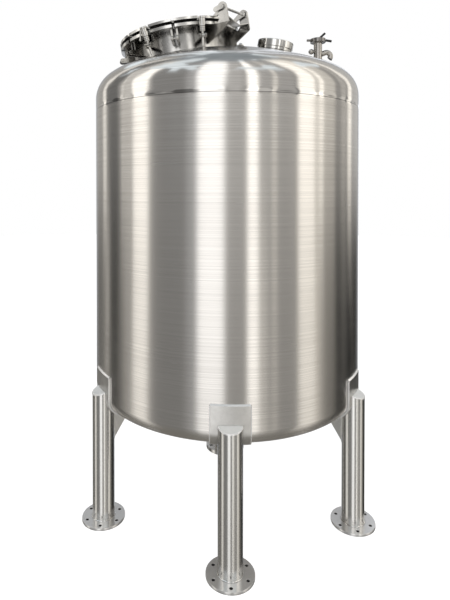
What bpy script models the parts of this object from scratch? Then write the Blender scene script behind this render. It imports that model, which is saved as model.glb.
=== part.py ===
"""Vertical stainless storage tank on four tubular legs, with a tilted manway and a hinged lid.

Metres, +Z up. The origin is on the floor under the tank's axis, and the front is -Y.
"""

import math

import bmesh
import bpy
from mathutils import Matrix, Vector

# Shell and heads
SHELL_RADIUS = 0.675
SHEET = 0.004
GAP = 0.0003
SHELL_SIDES = 60
SHELL_PLATES = 6
KNUCKLE_STEPS = 4
CROWN_STEPS = 3
TOP_SEAM = 1.9407
BOTTOM_SEAM = 0.752
TOP_TANGENT = 2.003
TOP_KNUCKLE = 0.135
TOP_CROWN = 1.485
BOTTOM_TANGENT = 0.5807
BOTTOM_KNUCKLE = 0.074
BOTTOM_CROWN = 1.4175

# Legs, by their angle from the front one
LEG_ANGLES = {"front": 0.0, "right": 60.0, "back": 180.0, "left": -60.0}
LEG_REACH = 0.6732
LEG_RADIUS = 0.0512
LEG_WALL = 0.003
LEG_SIDES = 24
CAP_TOP = 0.6084
CAP_SLOPE = 0.32
CAP_PLATE = 0.005
FOOT_RADIUS = 0.1
FOOT_PLATE = 0.012
FOOT_HOLES = 6
FOOT_HOLE_RADIUS = 0.007
FOOT_HOLE_CIRCLE = 0.079
PAD = 0.008
PAD_TOP = 0.685
PAD_WIDTH = 0.163
PAD_INNER_REACH = 0.56
PAD_FACETS = 6
GUSSET = 0.008
GUSSET_INNER_REACH = 0.563
GUSSET_INNER_LOW = 0.452
GUSSET_OUTER_LOW = 0.362
UNDER_SHELL = 0.6

# Manway. Heights are along its own axis, from the head's surface under its middle
MANWAY_REACH = 0.2285
MANWAY_AZIMUTH = 175.0
MANWAY_SIDES = 48
NECK_RADIUS = 0.257
NECK_WALL = 0.004
NECK_LOW = -0.035
RIM_RADIUS = 0.317
FLANGE_LOW = 0.084
FLANGE_TOP = 0.098
LID_LOW = 0.113
LID_TOP = 0.125
GASKET_RADIUS = 0.287
LID_DISH = 0.05
LID_SHEET = 0.005
SLOTS = 15
SLOT_START = 140.25
SLOT_WIDTH = 0.015
SLOT_INNER = 0.291
EAR = 0.01
EAR_SPACING = 0.026
EAR_REACH = 0.3
EAR_LOW = 0.014
EAR_ROUND = 0.012
PIN_REACH = 0.322
PIN_HEIGHT = 0.027
EAR_PIN_RADIUS = 0.005
PIN_PLAY = 0.0006

# Swing bolts, each with its own lean at rest, in degrees from the manway's axis
BOLT_SLOTS = (1, 3, 7, 9, 11, 12)
SWING_BOLT_LEANS = (17.0, 20.0, 17.0, 24.0, 17.0, 48.0)
ROD_RADIUS = 0.006
ROD_TAIL = 0.05
SLEEVE_RADIUS = 0.0155
SLEEVE_LOW = 0.019
SLEEVE_TOP = 0.088
EYE_RADIUS = 0.011

# Hinge of the lid
HINGE_ANGLE = 150.0
HINGE_REACH = 0.351
HINGE_HEIGHT = 0.152
HINGE_SPAN = 0.196
HINGE_PLATE = 0.009
HINGE_ROUND = 0.025
HINGE_PIN_RADIUS = 0.0065
HINGE_FOOT_LOW = 0.008
HINGE_OUTER_LOW = 0.068
HINGE_STEP_REACH = 0.309
STRIP_LOW = 0.078
STRIP_HIGH = 0.104
STRIP_THICK = 0.006
STRIP_WIDTH = 0.038
LID_ARM = 0.008
LID_ARM_OFFSET = 0.0845
LID_ARM_ROUND = 0.016
LID_ARM_INNER = 0.245
LID_ARM_OUTER = 0.298
LID_ARM_SUNK = 0.004
LID_ARM_RISE = 0.014
LEVER_LENGTH = 0.062
LEVER_ROUND = 0.013
LEVER_THICK = 0.006
LEVER_HIGH = 0.004
LEVER_LOW = -0.02
PIN_OVERHANG = 0.012
PIN_HEAD = 0.012
PIN_HEAD_THICK = 0.005
PIN_NUT = 0.013
PIN_NUT_THICK = 0.008

# Union nozzle
UNION_REACH = 0.278
UNION_AZIMUTH = -31.0
UNION_BORE = 0.066
UNION_LINER = 0.078
UNION_CAP = 0.0885
UNION_CAP_LOW = 0.014
UNION_CAP_TOP = 0.0605
UNION_CAP_PLATE = 0.006
UNION_NOTCHES = 4
UNION_EDGE = 0.004
UNION_LOW = -0.02

# Vent pipe
VENT_PLACE = Vector((0.471, -0.0825, 0.0))
VENT_RADIUS = 0.021
VENT_WALL = 0.002
VENT_TOP = 2.31
VENT_FERRULE = 0.0315
VENT_BASE = 2.093
VENT_SIDE_LEVEL = 2.241
KNOB_STEM_RADIUS = 0.011
KNOB_STEM = 0.012
KNOB_RADIUS = 0.016
KNOB_REACH = 0.018
KNOB_RISE = 0.01
ELBOW_RADIUS = 0.014
ELBOW_BEND = 0.026
ELBOW_REACH = 0.022
ELBOW_ANGLE = 110.0
ELBOW_SUNK = 0.002
CLAMP_RADIUS = 0.0385
CLAMP_HIGH = 0.0065
CLAMP_LOW = -0.0075
WING_BOLT_RADIUS = 0.005
WING_BOLT = 0.03
WING_BAR_RADIUS = 0.0045
WING_BAR_LOW = -0.004
WING_BAR_HIGH = 0.034
WING_GAP = 0.0012

# Bottom outlet
OUTLET_BORE = 0.05
OUTLET_PIPE = 0.0545
OUTLET_FLANGE = 0.1
OUTLET_FLANGE_PLATE = 0.018
OUTLET_LOW = 0.17
OUTLET_TOP = 0.3685
OUTLET_HOLES = 8
OUTLET_HOLE_RADIUS = 0.009
OUTLET_HOLE_CIRCLE = 0.08

FULL_TURN = math.tau


def clear_scene():
    for obj in list(bpy.data.objects):
        bpy.data.objects.remove(obj, do_unlink=True)


def new_collection(name):
    collection = bpy.data.collections.new(name)
    bpy.context.scene.collection.children.link(collection)
    return collection


def material(name, colour, roughness, metallic):
    made = bpy.data.materials.new(name)
    made.use_nodes = True
    shader = made.node_tree.nodes["Principled BSDF"]
    shader.inputs["Base Color"].default_value = (*colour, 1.0)
    shader.inputs["Roughness"].default_value = roughness
    shader.inputs["Metallic"].default_value = metallic
    return made


def turn(degrees):
    return Matrix.Rotation(math.radians(degrees), 4, "Z")


def arc(centre, radius, start, end, steps):
    """Points of an arc, angles in degrees."""
    points = []
    for step in range(steps + 1):
        angle = math.radians(start + (end - start) * step / steps)
        x = centre[0] + radius * math.cos(angle)
        y = centre[1] + radius * math.sin(angle)
        points.append((x, y))
    return points


def finish(bm, name):
    """Mesh of a bmesh, with its faces pointing out and its round faces smooth."""
    bmesh.ops.remove_doubles(bm, verts=bm.verts, dist=1e-6)
    bmesh.ops.recalc_face_normals(bm, faces=bm.faces)
    mesh = bpy.data.meshes.new(name)
    bm.to_mesh(mesh)
    bm.free()
    return mesh


def spun(profile, sides, start=0.0, angle=FULL_TURN, closed=True):
    """Bmesh of a profile of (radius, height) points turned about Z; closed joins its two ends."""
    bm = bmesh.new()
    direction = Vector((math.cos(start), math.sin(start), 0.0))
    verts = [bm.verts.new(direction * r + Vector((0.0, 0.0, z))) for r, z in profile]
    edges = [bm.edges.new(pair) for pair in zip(verts, verts[1:])]
    if closed:
        edges.append(bm.edges.new((verts[-1], verts[0])))
    whole = math.isclose(angle, FULL_TURN)
    bmesh.ops.spin(
        bm,
        geom=verts + edges,
        axis=(0, 0, 1),
        cent=(0, 0, 0),
        steps=sides,
        angle=angle,
        use_merge=whole,
    )
    bmesh.ops.remove_doubles(bm, verts=bm.verts, dist=1e-6)
    if not whole:
        open_edges = [edge for edge in bm.edges if edge.is_boundary]
        bmesh.ops.holes_fill(bm, edges=open_edges, sides=0)
    return bm


def ring(inner, outer, low, high, sides):
    return spun([(inner, low), (outer, low), (outer, high), (inner, high)], sides)


def cylinder(bm, radius, low, high, sides, matrix):
    """Closed cylinder along the matrix's Z, from low to high."""
    middle = matrix @ Matrix.Translation((0, 0, (low + high) / 2))
    bmesh.ops.create_cone(
        bm,
        cap_ends=True,
        segments=sides,
        radius1=radius,
        radius2=radius,
        depth=high - low,
        matrix=middle,
    )


def box(bm, low, high, matrix):
    """Closed box between two corners in the matrix's frame."""
    low, high = Vector(low), Vector(high)
    size = Matrix.Diagonal((*(high - low), 1.0))
    bmesh.ops.create_cube(bm, size=1.0, matrix=matrix @ Matrix.Translation((low + high) / 2) @ size)


def plate(bm, outlines, thickness, matrix):
    """Adds a flat plate: outlines in the matrix's XZ plane, thickness centred along its Y."""
    curve = bpy.data.curves.new("outline", "CURVE")
    curve.dimensions = "2D"
    curve.fill_mode = "BOTH"
    curve.extrude = thickness / 2
    for outline in outlines:
        spline = curve.splines.new("POLY")
        spline.points.add(len(outline) - 1)
        for point, (x, z) in zip(spline.points, outline):
            point.co = (x, z, 0.0, 1.0)
        spline.use_cyclic_u = True
    holder = bpy.data.objects.new("outline", curve)
    bpy.context.scene.collection.objects.link(holder)
    bpy.context.view_layer.update()
    graph = bpy.context.evaluated_depsgraph_get()
    mesh = bpy.data.meshes.new_from_object(holder.evaluated_get(graph))
    flat = bmesh.new()
    flat.from_mesh(mesh)
    bmesh.ops.remove_doubles(flat, verts=flat.verts, dist=1e-6)
    upright = matrix @ Matrix.Rotation(math.pi / 2, 4, "X")
    bmesh.ops.transform(flat, matrix=upright, verts=flat.verts)
    flat.to_mesh(mesh)
    flat.free()
    bm.from_mesh(mesh)
    bpy.data.meshes.remove(mesh)
    bpy.data.objects.remove(holder, do_unlink=True)
    bpy.data.curves.remove(curve)


class Workshop:
    """Collections and materials of the model, and the objects put into them."""

    def __init__(self):
        self.parts = new_collection("storage_tank")
        self.cutters = new_collection("cutters")
        self.brushed = material("brushed_steel", (0.62, 0.6, 0.57), 0.32, 1.0)
        self.polished = material("polished_steel", (0.7, 0.69, 0.67), 0.18, 1.0)
        self.rubber = material("gasket_rubber", (0.02, 0.02, 0.02), 0.6, 0.0)
        self.black = material("black_steel", (0.03, 0.03, 0.03), 0.4, 0.0)

    def add(self, name, bm, finish_material, matrix=None):
        mesh = finish(bm, name)
        mesh.materials.append(finish_material)
        obj = bpy.data.objects.new(name, mesh)
        obj.matrix_world = matrix or Matrix()
        self.parts.objects.link(obj)
        mesh.shade_smooth()
        mesh.set_sharp_from_angle(angle=math.radians(35))
        return obj

    def boolean(self, obj, operation, bm, matrix=None):
        """Cuts, joins or keeps obj by a helper solid that is left out of the model."""
        name = f"{obj.name}_{operation.lower()}_{len(obj.modifiers)}"
        helper = bpy.data.objects.new(name, finish(bm, name))
        helper.matrix_world = matrix or Matrix()
        helper.hide_render = True
        helper.display_type = "WIRE"
        self.cutters.objects.link(helper)
        modifier = obj.modifiers.new(name, "BOOLEAN")
        modifier.operation = operation
        modifier.solver = "EXACT"
        modifier.object = helper


def crown_height(crown, knuckle, reach):
    """Depth of the crown's arc centre below the tangent line, and the crown's own height at reach."""
    centre = -math.sqrt((crown - knuckle) ** 2 - (SHELL_RADIUS - knuckle) ** 2)
    return centre + math.sqrt(crown**2 - reach**2)


def head_profile(crown, knuckle, offset):
    """(radius, height) from the tangent line to the axis, for a head curving up; offset is outward."""
    centre = -math.sqrt((crown - knuckle) ** 2 - (SHELL_RADIUS - knuckle) ** 2)
    end = math.degrees(math.atan2(-centre, SHELL_RADIUS - knuckle))
    points = arc((SHELL_RADIUS - knuckle, 0.0), knuckle + offset, 0.0, end, KNUCKLE_STEPS)
    points += arc((0.0, centre), crown + offset, end, 90.0, CROWN_STEPS)[1:]
    points[-1] = (0.0, centre + crown + offset)
    return points


def bottom_outline(offset, high):
    """(radius, height) of the bottom head's outer side, moved outward by offset, from high down."""
    curve = head_profile(BOTTOM_CROWN, BOTTOM_KNUCKLE, offset)
    return [(SHELL_RADIUS + offset, high)] + [(r, BOTTOM_TANGENT - z) for r, z in curve]


def top_outline(offset, low):
    curve = head_profile(TOP_CROWN, TOP_KNUCKLE, offset)
    return [(SHELL_RADIUS + offset, low)] + [(r, TOP_TANGENT + z) for r, z in curve]


def on_top_head(reach, azimuth):
    """Frame on the top head: X away from the tank's axis, Z square to the surface."""
    height = TOP_TANGENT + crown_height(TOP_CROWN, TOP_KNUCKLE, reach)
    tilt = Matrix.Rotation(math.asin(reach / TOP_CROWN), 4, "Y")
    return turn(azimuth) @ Matrix.Translation((reach, 0, height)) @ tilt


def manway_station(angle):
    """Frame at an angle round the manway: X outward, Y along the rim, Z along its axis."""
    return on_top_head(MANWAY_REACH, MANWAY_AZIMUTH) @ turn(angle)


def shell(shop):
    """Cylinder of rolled plates between the two circumferential seams."""
    span = FULL_TURN / SHELL_PLATES
    gap_angle = GAP / SHELL_RADIUS
    low, high = BOTTOM_SEAM + GAP, TOP_SEAM - GAP
    inner = SHELL_RADIUS - SHEET
    profile = [(inner, low), (SHELL_RADIUS, low), (SHELL_RADIUS, high), (inner, high)]
    for index in range(SHELL_PLATES):
        start = index * span + gap_angle / 2
        steps = SHELL_SIDES // SHELL_PLATES
        bm = spun(profile, steps, start, span - gap_angle)
        shop.add(f"shell_plate_{index + 1}", bm, shop.brushed)


def top_head(shop):
    """Dished head with holes for the manway, the union and the vent."""
    profile = top_outline(0.0, TOP_SEAM) + top_outline(-SHEET, TOP_SEAM)[::-1]
    head = shop.add("top_head", spun(profile, SHELL_SIDES), shop.brushed)
    holes = [
        (on_top_head(MANWAY_REACH, MANWAY_AZIMUTH), NECK_RADIUS, MANWAY_SIDES),
        (on_top_head(UNION_REACH, UNION_AZIMUTH), UNION_LINER, 32),
        (Matrix.Translation(VENT_PLACE + Vector((0, 0, TOP_TANGENT + 0.15))), VENT_RADIUS, 20),
    ]
    for matrix, radius, sides in holes:
        bm = bmesh.new()
        cylinder(bm, radius + GAP, -0.15, 0.1, sides, matrix)
        shop.boolean(head, "DIFFERENCE", bm)


def bottom_head(shop):
    profile = bottom_outline(0.0, BOTTOM_SEAM) + bottom_outline(-SHEET, BOTTOM_SEAM)[::-1]
    head = shop.add("bottom_head", spun(profile, SHELL_SIDES), shop.brushed)
    bm = bmesh.new()
    cylinder(bm, OUTLET_PIPE + GAP, 0.2, 0.6, 32, Matrix())
    shop.boolean(head, "DIFFERENCE", bm)


def leg_envelope():
    """Solid that a leg's tube and gusset stay out of: the tank with a pad all round it."""
    return spun(bottom_outline(PAD + 2 * GAP, 0.9) + [(0.0, 0.9)], SHELL_SIDES, closed=False)


def leg_tube(shop, name, place):
    """Tube with a sloped end cap, its back cut to the pad."""
    tilt = Matrix.Rotation(math.atan(CAP_SLOPE), 4, "Y")
    tube = None
    for radius, low, drop in ((LEG_RADIUS, FOOT_PLATE + GAP, 0.0), (LEG_RADIUS - LEG_WALL, -0.1, CAP_PLATE)):
        bm = bmesh.new()
        cylinder(bm, radius, low, 0.7, LEG_SIDES, Matrix.Translation((LEG_REACH, 0, 0)))
        top = Matrix.Translation((SHELL_RADIUS + PAD, 0, CAP_TOP - drop)) @ tilt
        geometry = list(bm.verts) + list(bm.edges) + list(bm.faces)
        bmesh.ops.bisect_plane(
            bm,
            geom=geometry,
            plane_co=top.translation,
            plane_no=top.to_3x3() @ Vector((0, 0, 1)),
            clear_outer=True,
        )
        open_edges = [edge for edge in bm.edges if edge.is_boundary]
        bmesh.ops.holes_fill(bm, edges=open_edges, sides=0)
        if tube is None:
            tube = shop.add(f"leg_tube_{name}", bm, shop.brushed, place)
        else:
            shop.boolean(tube, "DIFFERENCE", bm, place)
    shop.boolean(tube, "DIFFERENCE", leg_envelope())


def leg_pad(shop, name, place):
    """Curved reinforcing plate on the shell, wrapped under the bottom knuckle."""
    outer = bottom_outline(PAD + GAP, PAD_TOP)
    inner = bottom_outline(GAP, PAD_TOP)
    facet = FULL_TURN / SHELL_SIDES
    bm = spun(outer + inner[::-1], PAD_FACETS, -facet * PAD_FACETS / 2, facet * PAD_FACETS)
    pad = shop.add(f"leg_pad_{name}", bm, shop.brushed, place)
    keep = bmesh.new()
    box(keep, (PAD_INNER_REACH, -PAD_WIDTH / 2, 0.3), (0.8, PAD_WIDTH / 2, 0.8), Matrix())
    shop.boolean(pad, "INTERSECT", keep, place)


def leg_gusset(shop, name, place):
    outer = LEG_REACH - LEG_RADIUS - GAP
    outline = [
        (GUSSET_INNER_REACH, UNDER_SHELL),
        (GUSSET_INNER_REACH, GUSSET_INNER_LOW),
        (outer, GUSSET_OUTER_LOW),
        (outer, UNDER_SHELL),
    ]
    bm = bmesh.new()
    plate(bm, [outline], GUSSET, Matrix())
    gusset = shop.add(f"leg_gusset_{name}", bm, shop.brushed, place)
    shop.boolean(gusset, "DIFFERENCE", leg_envelope())


def foot_plate(shop, name, place):
    bm = bmesh.new()
    middle = Matrix.Translation((LEG_REACH, 0, 0))
    cylinder(bm, FOOT_RADIUS, 0.0, FOOT_PLATE, 32, middle)
    foot = shop.add(f"foot_plate_{name}", bm, shop.brushed, place)
    holes = bmesh.new()
    for index in range(FOOT_HOLES):
        spot = middle @ turn(360 * index / FOOT_HOLES) @ Matrix.Translation((FOOT_HOLE_CIRCLE, 0, 0))
        cylinder(holes, FOOT_HOLE_RADIUS, -0.01, 0.03, 8, spot)
    shop.boolean(foot, "DIFFERENCE", holes, place)


def legs(shop):
    for name, angle in LEG_ANGLES.items():
        place = turn(angle - 90.0)
        leg_tube(shop, name, place)
        leg_pad(shop, name, place)
        leg_gusset(shop, name, place)
        foot_plate(shop, name, place)


def slot_angles():
    """Angles of the open slots, evenly round the rim; the hinge stands between the last and the first."""
    return [SLOT_START - 360 / SLOTS * index for index in range(SLOTS)]


def slot_cutter():
    bm = bmesh.new()
    for angle in slot_angles():
        box(bm, (SLOT_INNER, -SLOT_WIDTH / 2, 0.0), (0.4, SLOT_WIDTH / 2, 0.2), turn(angle))
    return bm


def ear_outline():
    points = arc((PIN_REACH, PIN_HEIGHT), EAR_ROUND, -90, 90, 2)
    points.append((EAR_REACH, PIN_HEIGHT + EAR_ROUND))
    points.append((EAR_REACH, FLANGE_LOW + 0.002))
    points.append((NECK_RADIUS + 0.001, FLANGE_LOW + 0.002))
    points.append((NECK_RADIUS + 0.001, EAR_LOW))
    return points


def manway_neck(shop):
    """Short tube from inside the head up through the flange, cut to length under the head."""
    bm = ring(NECK_RADIUS - NECK_WALL, NECK_RADIUS, NECK_LOW, FLANGE_TOP, MANWAY_SIDES)
    shop.add("manway_neck", bm, shop.brushed, manway_station(0))


def manway_flange(shop):
    """Slotted ring round the neck's top, with the pairs of ears that carry the swing bolts."""
    station = manway_station(0)
    bm = ring(NECK_RADIUS + GAP, RIM_RADIUS, FLANGE_LOW, FLANGE_TOP, MANWAY_SIDES)
    flange = shop.add("manway_flange", bm, shop.brushed, station)
    ears = bmesh.new()
    pins = bmesh.new()
    for angle in slot_angles()[1:-1]:
        for side in (-1, 1):
            spot = turn(angle) @ Matrix.Translation((0, side * EAR_SPACING / 2, 0))
            plate(ears, [ear_outline()], EAR, spot)
        along = turn(angle) @ Matrix.Translation((PIN_REACH, 0, PIN_HEIGHT))
        reach = EAR_SPACING / 2 + EAR / 2 + 0.003
        cylinder(pins, EAR_PIN_RADIUS, -reach, reach, 8, along @ Matrix.Rotation(math.pi / 2, 4, "X"))
    shop.boolean(flange, "DIFFERENCE", slot_cutter(), station)
    shop.boolean(flange, "UNION", ears, station)
    shop.boolean(flange, "UNION", pins, station)


def manway_gasket(shop):
    bm = ring(NECK_RADIUS - NECK_WALL, GASKET_RADIUS, FLANGE_TOP + GAP, LID_LOW - GAP, MANWAY_SIDES)
    shop.add("manway_gasket", bm, shop.rubber, manway_station(0))


def lid_profile():
    """Dished cover with a flat slotted rim, from the top of its middle round to below it."""
    rise = LID_DISH
    base = NECK_RADIUS
    radius = (base**2 + rise**2) / (2 * rise)
    half = math.degrees(math.asin(base / radius))
    centre = LID_TOP + rise - radius
    upper = arc((0.0, centre), radius, 90, 90 - half, 4)
    lower = arc((0.0, centre), radius - LID_SHEET, 90, 90 - half * 0.97, 4)
    upper[0] = (0.0, centre + radius)
    lower[0] = (0.0, centre + radius - LID_SHEET)
    rim = [(RIM_RADIUS, LID_TOP), (RIM_RADIUS, LID_LOW), (lower[-1][0], LID_LOW)]
    return upper + rim + lower[::-1]


def lid_arm_outlines():
    """Arm from the lid's rim up to its eye on the hinge pin."""
    eye = (HINGE_REACH, HINGE_HEIGHT)
    outline = [(LID_ARM_INNER, LID_TOP - LID_ARM_SUNK), (LID_ARM_OUTER, LID_TOP - LID_ARM_SUNK)]
    outline += arc(eye, LID_ARM_ROUND, -80, 100, 8)
    outline.append((LID_ARM_INNER, LID_TOP + LID_ARM_RISE))
    return outline


def manway_lid(shop):
    station = manway_station(0)
    lid = shop.add("manway_lid", spun(lid_profile(), MANWAY_SIDES, closed=False), shop.brushed, station)
    shop.boolean(lid, "DIFFERENCE", slot_cutter(), station)
    arms = bmesh.new()
    for side in (-1, 1):
        spot = Matrix.Translation((0, side * LID_ARM_OFFSET, 0))
        plate(arms, [lid_arm_outlines()], LID_ARM, spot)
    shop.boolean(lid, "UNION", arms, manway_station(HINGE_ANGLE))
    bore = bmesh.new()
    cylinder(bore, HINGE_PIN_RADIUS + GAP, -0.2, 0.2, 12, hinge_line())
    shop.boolean(lid, "DIFFERENCE", bore, manway_station(HINGE_ANGLE))


def hinge_line():
    """Frame on the hinge's axis within its station: Z along the pin."""
    across = Matrix.Rotation(math.pi / 2, 4, "X")
    return Matrix.Translation((HINGE_REACH, 0, HINGE_HEIGHT)) @ across


def hinge_bracket(shop):
    """Two tall plates welded to the neck, tied by a folded strip."""
    station = manway_station(HINGE_ANGLE)
    neck = math.sqrt((NECK_RADIUS + GAP) ** 2 - (HINGE_SPAN / 2 - HINGE_PLATE) ** 2)
    outline = [(neck, FLANGE_LOW - GAP), (neck, HINGE_FOOT_LOW)]
    outline.append((HINGE_REACH + HINGE_ROUND, HINGE_OUTER_LOW))
    outline += arc((HINGE_REACH, HINGE_HEIGHT), HINGE_ROUND, 0, 180, 12)
    outline.append((HINGE_REACH - HINGE_ROUND, FLANGE_TOP + 0.002))
    outline.append((HINGE_STEP_REACH, FLANGE_LOW - GAP))
    bm = bmesh.new()
    for side in (-1, 1):
        plate(bm, [outline], HINGE_PLATE, Matrix.Translation((0, side * HINGE_SPAN / 2, 0)))
    bracket = shop.add("hinge_bracket", bm, shop.brushed, station)
    strip = bmesh.new()
    half = HINGE_SPAN / 2 - HINGE_PLATE / 2 + 0.001
    fold = [(-half, STRIP_HIGH), (0.0, STRIP_LOW), (half, STRIP_HIGH)]
    fold += [(x, z - STRIP_THICK) for x, z in reversed(fold)]
    along = Matrix.Translation((HINGE_REACH + 0.004, 0, 0)) @ turn(90)
    plate(strip, [fold], STRIP_WIDTH, along)
    shop.boolean(bracket, "UNION", strip, station)
    bore = bmesh.new()
    cylinder(bore, HINGE_PIN_RADIUS + GAP, -0.2, 0.2, 12, hinge_line())
    shop.boolean(bracket, "DIFFERENCE", bore, station)


def hinge_pin(shop):
    """Rod through both tall plates, with a head at each end and a short lever beside the front one."""
    station = manway_station(HINGE_ANGLE)
    outside = HINGE_SPAN / 2 + HINGE_PLATE / 2 + GAP
    bm = bmesh.new()
    end = outside + PIN_OVERHANG
    cylinder(bm, HINGE_PIN_RADIUS, -end, end, 12, hinge_line())
    pin = shop.add("hinge_pin", bm, shop.polished, station)
    heads = bmesh.new()
    cylinder(heads, PIN_HEAD, outside, outside + PIN_HEAD_THICK, 12, hinge_line())
    cylinder(heads, PIN_NUT, -outside - PIN_NUT_THICK, -outside, 6, hinge_line())
    shop.boolean(pin, "UNION", heads, station)
    lever = bmesh.new()
    centre = (HINGE_REACH, HINGE_HEIGHT)
    outline = arc(centre, LEVER_ROUND, -82, 98, 8)
    outline.append((HINGE_REACH - LEVER_LENGTH, HINGE_HEIGHT + LEVER_HIGH))
    outline.append((HINGE_REACH - LEVER_LENGTH, HINGE_HEIGHT + LEVER_LOW))
    plate(lever, [outline], LEVER_THICK, Matrix.Translation((0, -outside - PIN_NUT_THICK, 0)))
    shop.boolean(pin, "UNION", lever, station)


def swing_bolts(shop):
    """Bolts on the ears' pins: an eye, a thin tail, and a long sleeve nut on the rod above."""
    for index, (slot, lean) in enumerate(zip(BOLT_SLOTS, SWING_BOLT_LEANS)):
        station = manway_station(slot_angles()[slot])
        pivot = station @ Matrix.Translation((PIN_REACH, 0, PIN_HEIGHT))
        place = pivot @ Matrix.Rotation(math.radians(lean), 4, "Y")
        bm = bmesh.new()
        cylinder(bm, ROD_RADIUS, -ROD_TAIL, SLEEVE_LOW + 0.002, 8, Matrix())
        bolt = shop.add(f"swing_bolt_{index + 1}", bm, shop.polished, place)
        edge = SLEEVE_RADIUS - 0.003
        sleeve = [(0.0, SLEEVE_TOP), (edge, SLEEVE_TOP), (SLEEVE_RADIUS, SLEEVE_TOP - 0.003)]
        sleeve += [(SLEEVE_RADIUS, SLEEVE_LOW + 0.002), (edge, SLEEVE_LOW), (0.0, SLEEVE_LOW)]
        shop.boolean(bolt, "UNION", spun(sleeve, 12, closed=False), place)
        across = Matrix.Rotation(math.pi / 2, 4, "X")
        eye = bmesh.new()
        half_eye = (EAR_SPACING - EAR) / 2 - 0.0015
        cylinder(eye, EYE_RADIUS, -half_eye, half_eye, 12, across)
        shop.boolean(bolt, "UNION", eye, place)
        bore = bmesh.new()
        cylinder(bore, EAR_PIN_RADIUS + PIN_PLAY, -0.02, 0.02, 8, across)
        shop.boolean(bolt, "DIFFERENCE", bore, place)


def union_nozzle(shop):
    """Welded liner with a cap nut screwed over it."""
    station = on_top_head(UNION_REACH, UNION_AZIMUTH)
    seat = UNION_CAP_TOP - UNION_CAP_PLATE
    shop.add("union_liner", ring(UNION_BORE, UNION_LINER, UNION_LOW, seat - GAP, 32), shop.brushed, station)
    profile = [(0.0, UNION_CAP_TOP), (UNION_CAP - UNION_EDGE, UNION_CAP_TOP)]
    profile += [(UNION_CAP, UNION_CAP_TOP - UNION_EDGE), (UNION_CAP, UNION_CAP_LOW)]
    profile += [(UNION_LINER + GAP, UNION_CAP_LOW), (UNION_LINER + GAP, seat), (0.0, seat)]
    cap = shop.add("union_cap", spun(profile, 32, closed=False), shop.polished, station)
    notches = bmesh.new()
    for index in range(UNION_NOTCHES):
        spot = turn(45 + 360 * index / UNION_NOTCHES)
        box(notches, (UNION_CAP - 0.005, -0.004, 0.0), (0.12, 0.004, UNION_CAP_LOW + 0.014), spot)
    shop.boolean(cap, "DIFFERENCE", notches, station)


def vent(shop):
    """Slim pipe with a clamped blank on top, a side knob and a side elbow turned down."""
    place = Matrix.Translation(VENT_PLACE)
    inner = VENT_RADIUS - VENT_WALL
    profile = [(inner, VENT_BASE), (VENT_RADIUS, VENT_BASE), (VENT_RADIUS, VENT_TOP - 0.005)]
    profile += [(VENT_FERRULE, VENT_TOP - 0.0025), (VENT_FERRULE, VENT_TOP), (inner, VENT_TOP)]
    pipe = shop.add("vent_pipe", spun(profile, 20), shop.brushed, place)
    root = Matrix.Translation((0.003 - VENT_RADIUS, 0, VENT_SIDE_LEVEL + KNOB_RISE))
    left = root @ Matrix.Rotation(-math.pi / 2, 4, "Y")
    stem = bmesh.new()
    cylinder(stem, KNOB_STEM_RADIUS, 0.0, KNOB_STEM, 12, left)
    shop.boolean(pipe, "UNION", stem, place)
    knob = bmesh.new()
    middle = left @ Matrix.Translation((0, 0, KNOB_REACH))
    bmesh.ops.create_uvsphere(knob, u_segments=10, v_segments=6, radius=KNOB_RADIUS, matrix=middle)
    shop.boolean(pipe, "UNION", knob, place)
    shop.boolean(pipe, "UNION", vent_elbow(), place)
    shop.add("vent_clamp", clamp_ring(), shop.brushed, place)
    wing_nut(shop, place)


def vent_elbow():
    """Solid bend from the pipe's right side, turned down."""
    root = VENT_RADIUS - ELBOW_SUNK
    bm = bmesh.new()
    across = Matrix.Rotation(math.pi / 2, 4, "Y")
    start = Matrix.Translation((root, 0, VENT_SIDE_LEVEL)) @ across
    bmesh.ops.create_circle(bm, cap_ends=True, segments=12, radius=ELBOW_RADIUS, matrix=start)
    out = bmesh.ops.extrude_face_region(bm, geom=list(bm.faces))["geom"]
    moved = [item for item in out if isinstance(item, bmesh.types.BMVert)]
    bmesh.ops.translate(bm, verts=moved, vec=(ELBOW_REACH, 0, 0))
    end = [item for item in out if isinstance(item, bmesh.types.BMFace)]
    edges = list({edge for face in end for edge in face.edges})
    bmesh.ops.spin(
        bm,
        geom=end + edges + moved,
        cent=(root + ELBOW_REACH, 0, VENT_SIDE_LEVEL - ELBOW_BEND),
        axis=(0, 1, 0),
        steps=8,
        angle=math.radians(ELBOW_ANGLE),
    )
    inside = [face for face in bm.faces if all(len(edge.link_faces) > 2 for edge in face.edges)]
    bmesh.ops.delete(bm, geom=inside, context="FACES_ONLY")
    return bm


def clamp_ring():
    """Blank on the ferrule, held by a grooved clamp: one turned solid over the pipe's top."""
    top, low = VENT_TOP + CLAMP_HIGH, VENT_TOP + CLAMP_LOW
    profile = [(0.0, top), (VENT_FERRULE, top), (CLAMP_RADIUS, top - 0.0015), (CLAMP_RADIUS, low)]
    profile += [(VENT_FERRULE + GAP, low), (VENT_FERRULE + GAP, VENT_TOP + GAP), (0.0, VENT_TOP + GAP)]
    return spun(profile, 24, closed=False)


def wing_nut(shop, place):
    """Bolt of the clamp at its right, with a bar nut on it."""
    bm = bmesh.new()
    root = Matrix.Translation((CLAMP_RADIUS + WING_GAP, 0, VENT_TOP - 0.001))
    bolt = root @ Matrix.Rotation(math.radians(100), 4, "Y")
    cylinder(bm, WING_BOLT_RADIUS, 0.0, WING_BOLT, 10, bolt)
    nut = shop.add("vent_wing_nut", bm, shop.black, place)
    bar = bmesh.new()
    across = bolt @ Matrix.Translation((0, 0, WING_BOLT / 2)) @ Matrix.Rotation(math.radians(60), 4, "Y")
    cylinder(bar, WING_BAR_RADIUS, WING_BAR_LOW, WING_BAR_HIGH, 10, across)
    shop.boolean(nut, "UNION", bar, place)


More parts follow.
